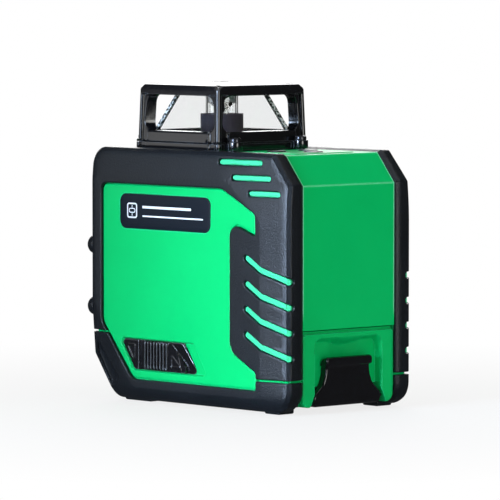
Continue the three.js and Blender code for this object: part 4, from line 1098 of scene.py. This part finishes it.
def lantern_half(z):
    """Half width of the lantern's faces: a wider foot, a groove, then a slight taper to the rim."""
    taper = LANTERN_HALF - 0.7 * (z - FOOT_TOP) / (LANTERN_HIGH - FOOT_TOP)
    return taper + 0.5 * (1 - smooth_step(z, 103.15, 103.3)) - 0.75 * np.exp(-((z - 103.45) / 0.13) ** 2)


def lantern_side():
    """One side of the frame, from mitre to mitre, facing +X about the axis: foot, window, posts and rim."""
    low, high = LANTERN_LOW, LANTERN_HIGH
    border = densify(np.array([[-MITRE, low], [MITRE, low], [MITRE, high], [-MITRE, high]]), 0.8)
    window = [[-20.9, 107.9, 3.6], [20.9, 107.9, 3.6], [19.7, 122.1, 4.2], [-19.7, 122.1, 4.2]]
    window = densify(corner_loop(window, 0.35), 0.7)

    def keep(points):
        return inside(points, border) & ~inside(points, window)

    loops = [border] + lip_loops(window, 0.6)
    for b in UPRIGHTS:
        for u in (-b, b):
            loops += [open_line([[u, low], [u, 107.2]], 0.7), open_line([[u, 122.9], [u, high]], 0.7)]
            if b > 21.0:
                loops.append(open_line([[u, 107.2], [u, 122.9]], 0.9))
    loops += [open_line([[-MITRE, z], [MITRE, z]], 0.9) for z in LEVELS]
    flat, faces = triangulate(loops, keep, 1.4, 0.4)
    b, z = np.abs(flat[:, 0]), flat[:, 1]
    sign = np.sign(flat[:, 0])
    step_at = np.where(z < 112, 18.2, 18.9)
    step = 0.95 * smooth_step(b, step_at - 0.12, step_at + 0.12)
    fade = smooth_step(np.abs(z - 115), 6.0, 7.6)
    inward = step * fade + 0.95 * (1 - fade)
    groove = inward + (2.0 - inward) * smooth_step(b, 21.3, 21.6)
    rib = (LANTERN_HALF - RIB_AT) - np.sqrt(np.maximum(RIB_RADIUS ** 2 - (b - RIB_AT) ** 2, 0.0))
    inward = np.where(b < 21.7, groove, np.minimum(groove, rib))
    rim = smooth_step(z, 122.2, 122.6)  # the rim stands level with the ribs
    inward = inward * (1 - rim) + np.where(b > RIB_AT, rib, HALF_TOP_INSET) * rim
    inward = inward + round_edge(nearest_on(flat, window)[0], 0.5)
    inward = inward + round_edge(high - z, 1.2) + 0.5 * round_edge(z - low, 0.3)
    half = lantern_half(z)
    lowered = 0.65 * np.clip(b - 21.4, 0, None) * smooth_step(z, 123.5, 126.3)  # the rim's corners slope off
    outer = np.column_stack([half - inward, sign * (b * half / LANTERN_HALF), z - lowered])
    # inner side: a deep foot below the glass, posts beside it, a top plate above it
    deep = np.where(z < GLASS_LOW, 16.8, np.where(z > GLASS_HIGH, 9.6, half - 4.8))
    power = np.where((z < GLASS_LOW) | (z > GLASS_HIGH), 1.0, 6.0)
    inner_b = b - (MITRE - deep) * (b / MITRE) ** power
    return close_shell(outer, np.column_stack([deep, sign * inner_b, z]), faces)


def turned(points, quarter):
    """Points turned about the Z axis by a number of quarter turns."""
    c, s = [(1, 0), (0, 1), (-1, 0), (0, -1)][quarter % 4]
    return np.column_stack([c * points[:, 0] - s * points[:, 1], s * points[:, 0] + c * points[:, 1], points[:, 2]])


def cross_head(radius, height, arm, depth):
    """Head of a cross-recess screw about the Z axis, standing on z = 0."""
    flat_edge = 0.35
    turns = np.linspace(0, 2 * math.pi, 28, endpoint=False)
    outline = radius * np.column_stack([np.cos(turns), np.sin(turns)])
    w = arm * 0.28
    cross = np.array([[w, w], [w, arm], [-w, arm], [-w, w], [-arm, w], [-arm, -w], [-w, -w], [-w, -arm], [w, -arm],
                      [w, -w], [arm, -w], [arm, w]], float)
    loops = [grow(outline, -k) for k in (0.08, 0.2, flat_edge)]
    loops += [densify(cross, 0.3), densify(grow(cross, -0.07), 0.3)]

    def outer(flat):
        r = np.linalg.norm(flat, axis=1)
        top = height * (0.72 + 0.28 * np.sqrt(np.maximum(1 - (r / radius) ** 2, 0)))
        return top - round_edge(radius - r, flat_edge) - depth * smooth_step(-signed(flat, cross), 0.0, 0.07)

    return height_shell(loops, outline, 0.45, outer, level(0.0), lambda flat, z: np.column_stack([flat, z]))


def build_lantern_frame():
    """The frame with a boss and a web at each corner, and a screw in each boss."""
    parts = Parts()
    side_points, side_faces = lantern_side()
    for quarter in range(4):
        parts.add(turned(side_points, quarter) + HEAD, side_faces)
    head_points, head_faces = cross_head(2.35, 1.65, 1.35, 0.8)
    boss = [[0, 100.8], [2.95, 100.8], [3.0, 100.9], [3.0, 103.8], [2.9, 104.1], [2.6, 104.22], [0, 104.22]]
    shank = [[0, 101.2], [1.2, 101.2], [1.2, 104.45], [0, 104.45]]
    for index, (sx, sy) in enumerate(((-1, -1), (-1, 1), (1, -1), (1, 1)), 1):
        spot = np.array([sx * 17.6, HEAD_Y + sy * 27.1, 0.0])
        parts.add(*lathe(boss, spot, (0, 0, 1)))
        y0, y1 = sorted((spot[1], spot[1] - sy * 4.2))
        parts.add(*rounded_block([spot[0] - 2.9, y0, 100.85], [spot[0] + 2.9, y1, 103.6], 0.35))
        screw = Parts()
        screw.add(turned(head_points, index % 2) + spot + [0, 0, 104.3], head_faces)
        screw.add(*lathe(shank, spot, (0, 0, 1), 16))
        make_piece(f"lantern_screw_{index}_head", *screw.get(), "housing", BLACK_STEEL, "steel",
                   [f"lantern_screw_{index}"])
    make_piece("lantern_frame_shell", *parts.get(), "housing", LANTERN_BLACK, "black_plastic", ["lantern_frame"],
               smooth_angle=42)


def build_cone_mirror():
    tip = [[0, 114.4], [0.25, 114.55], [4.75, 118.65], [4.75, 118.9], [0, 118.9]]
    cap = [[0, 118.7], [4.6, 118.7], [4.8, 118.85], [4.8, 120.2], [4.65, 120.35], [4.65, 120.6], [4.8, 120.75],
           [4.8, 122.1], [4.6, 122.3], [0, 122.3]]
    make_piece("cone_mirror_tip", *lathe(tip, HEAD, (0, 0, 1), 40), "pendulum", DARK_MIRROR, "mirror", ["cone_mirror"])
    make_piece("cone_mirror_cap", *lathe(cap, HEAD, (0, 0, 1), 40), "pendulum", CAP_GREY, "zinc", smooth_angle=35)


def build_glass_joints():
    """Ground edges where the sloping panes meet."""
    rows, faces = [], []
    for t in np.linspace(0, 1, 9):
        half = 19.38 - 6.5 * t
        z = 107.15 + 15.4 * t
        rows += [[half + 0.06, half - 1.7, z], [half + 0.06, half + 0.06, z], [half - 1.7, half + 0.06, z],
                 [half - 1.8, half - 1.8, z]]
    for k in range(8):
        for i in range(4):
            j = (i + 1) % 4
            faces.append((4 * k + i, 4 * k + j, 4 * k + 4 + j, 4 * k + 4 + i))
    faces += [(3, 2, 1, 0), (32, 33, 34, 35)]
    joint = Parts()
    for quarter in range(4):
        joint.add(turned(np.array(rows), quarter) + HEAD, faces)
    make_piece("lantern_glass_joints", *joint.get(), "housing", FROSTED, "glass", smooth_angle=30)


make_camera()
make_studio()
dress_cad_nodes()
build_jackets()
build_covers()
build_slot_strips()
build_slider()
build_label()
build_door()
build_latch()
build_lantern_frame()
build_cone_mirror()
build_glass_joints()
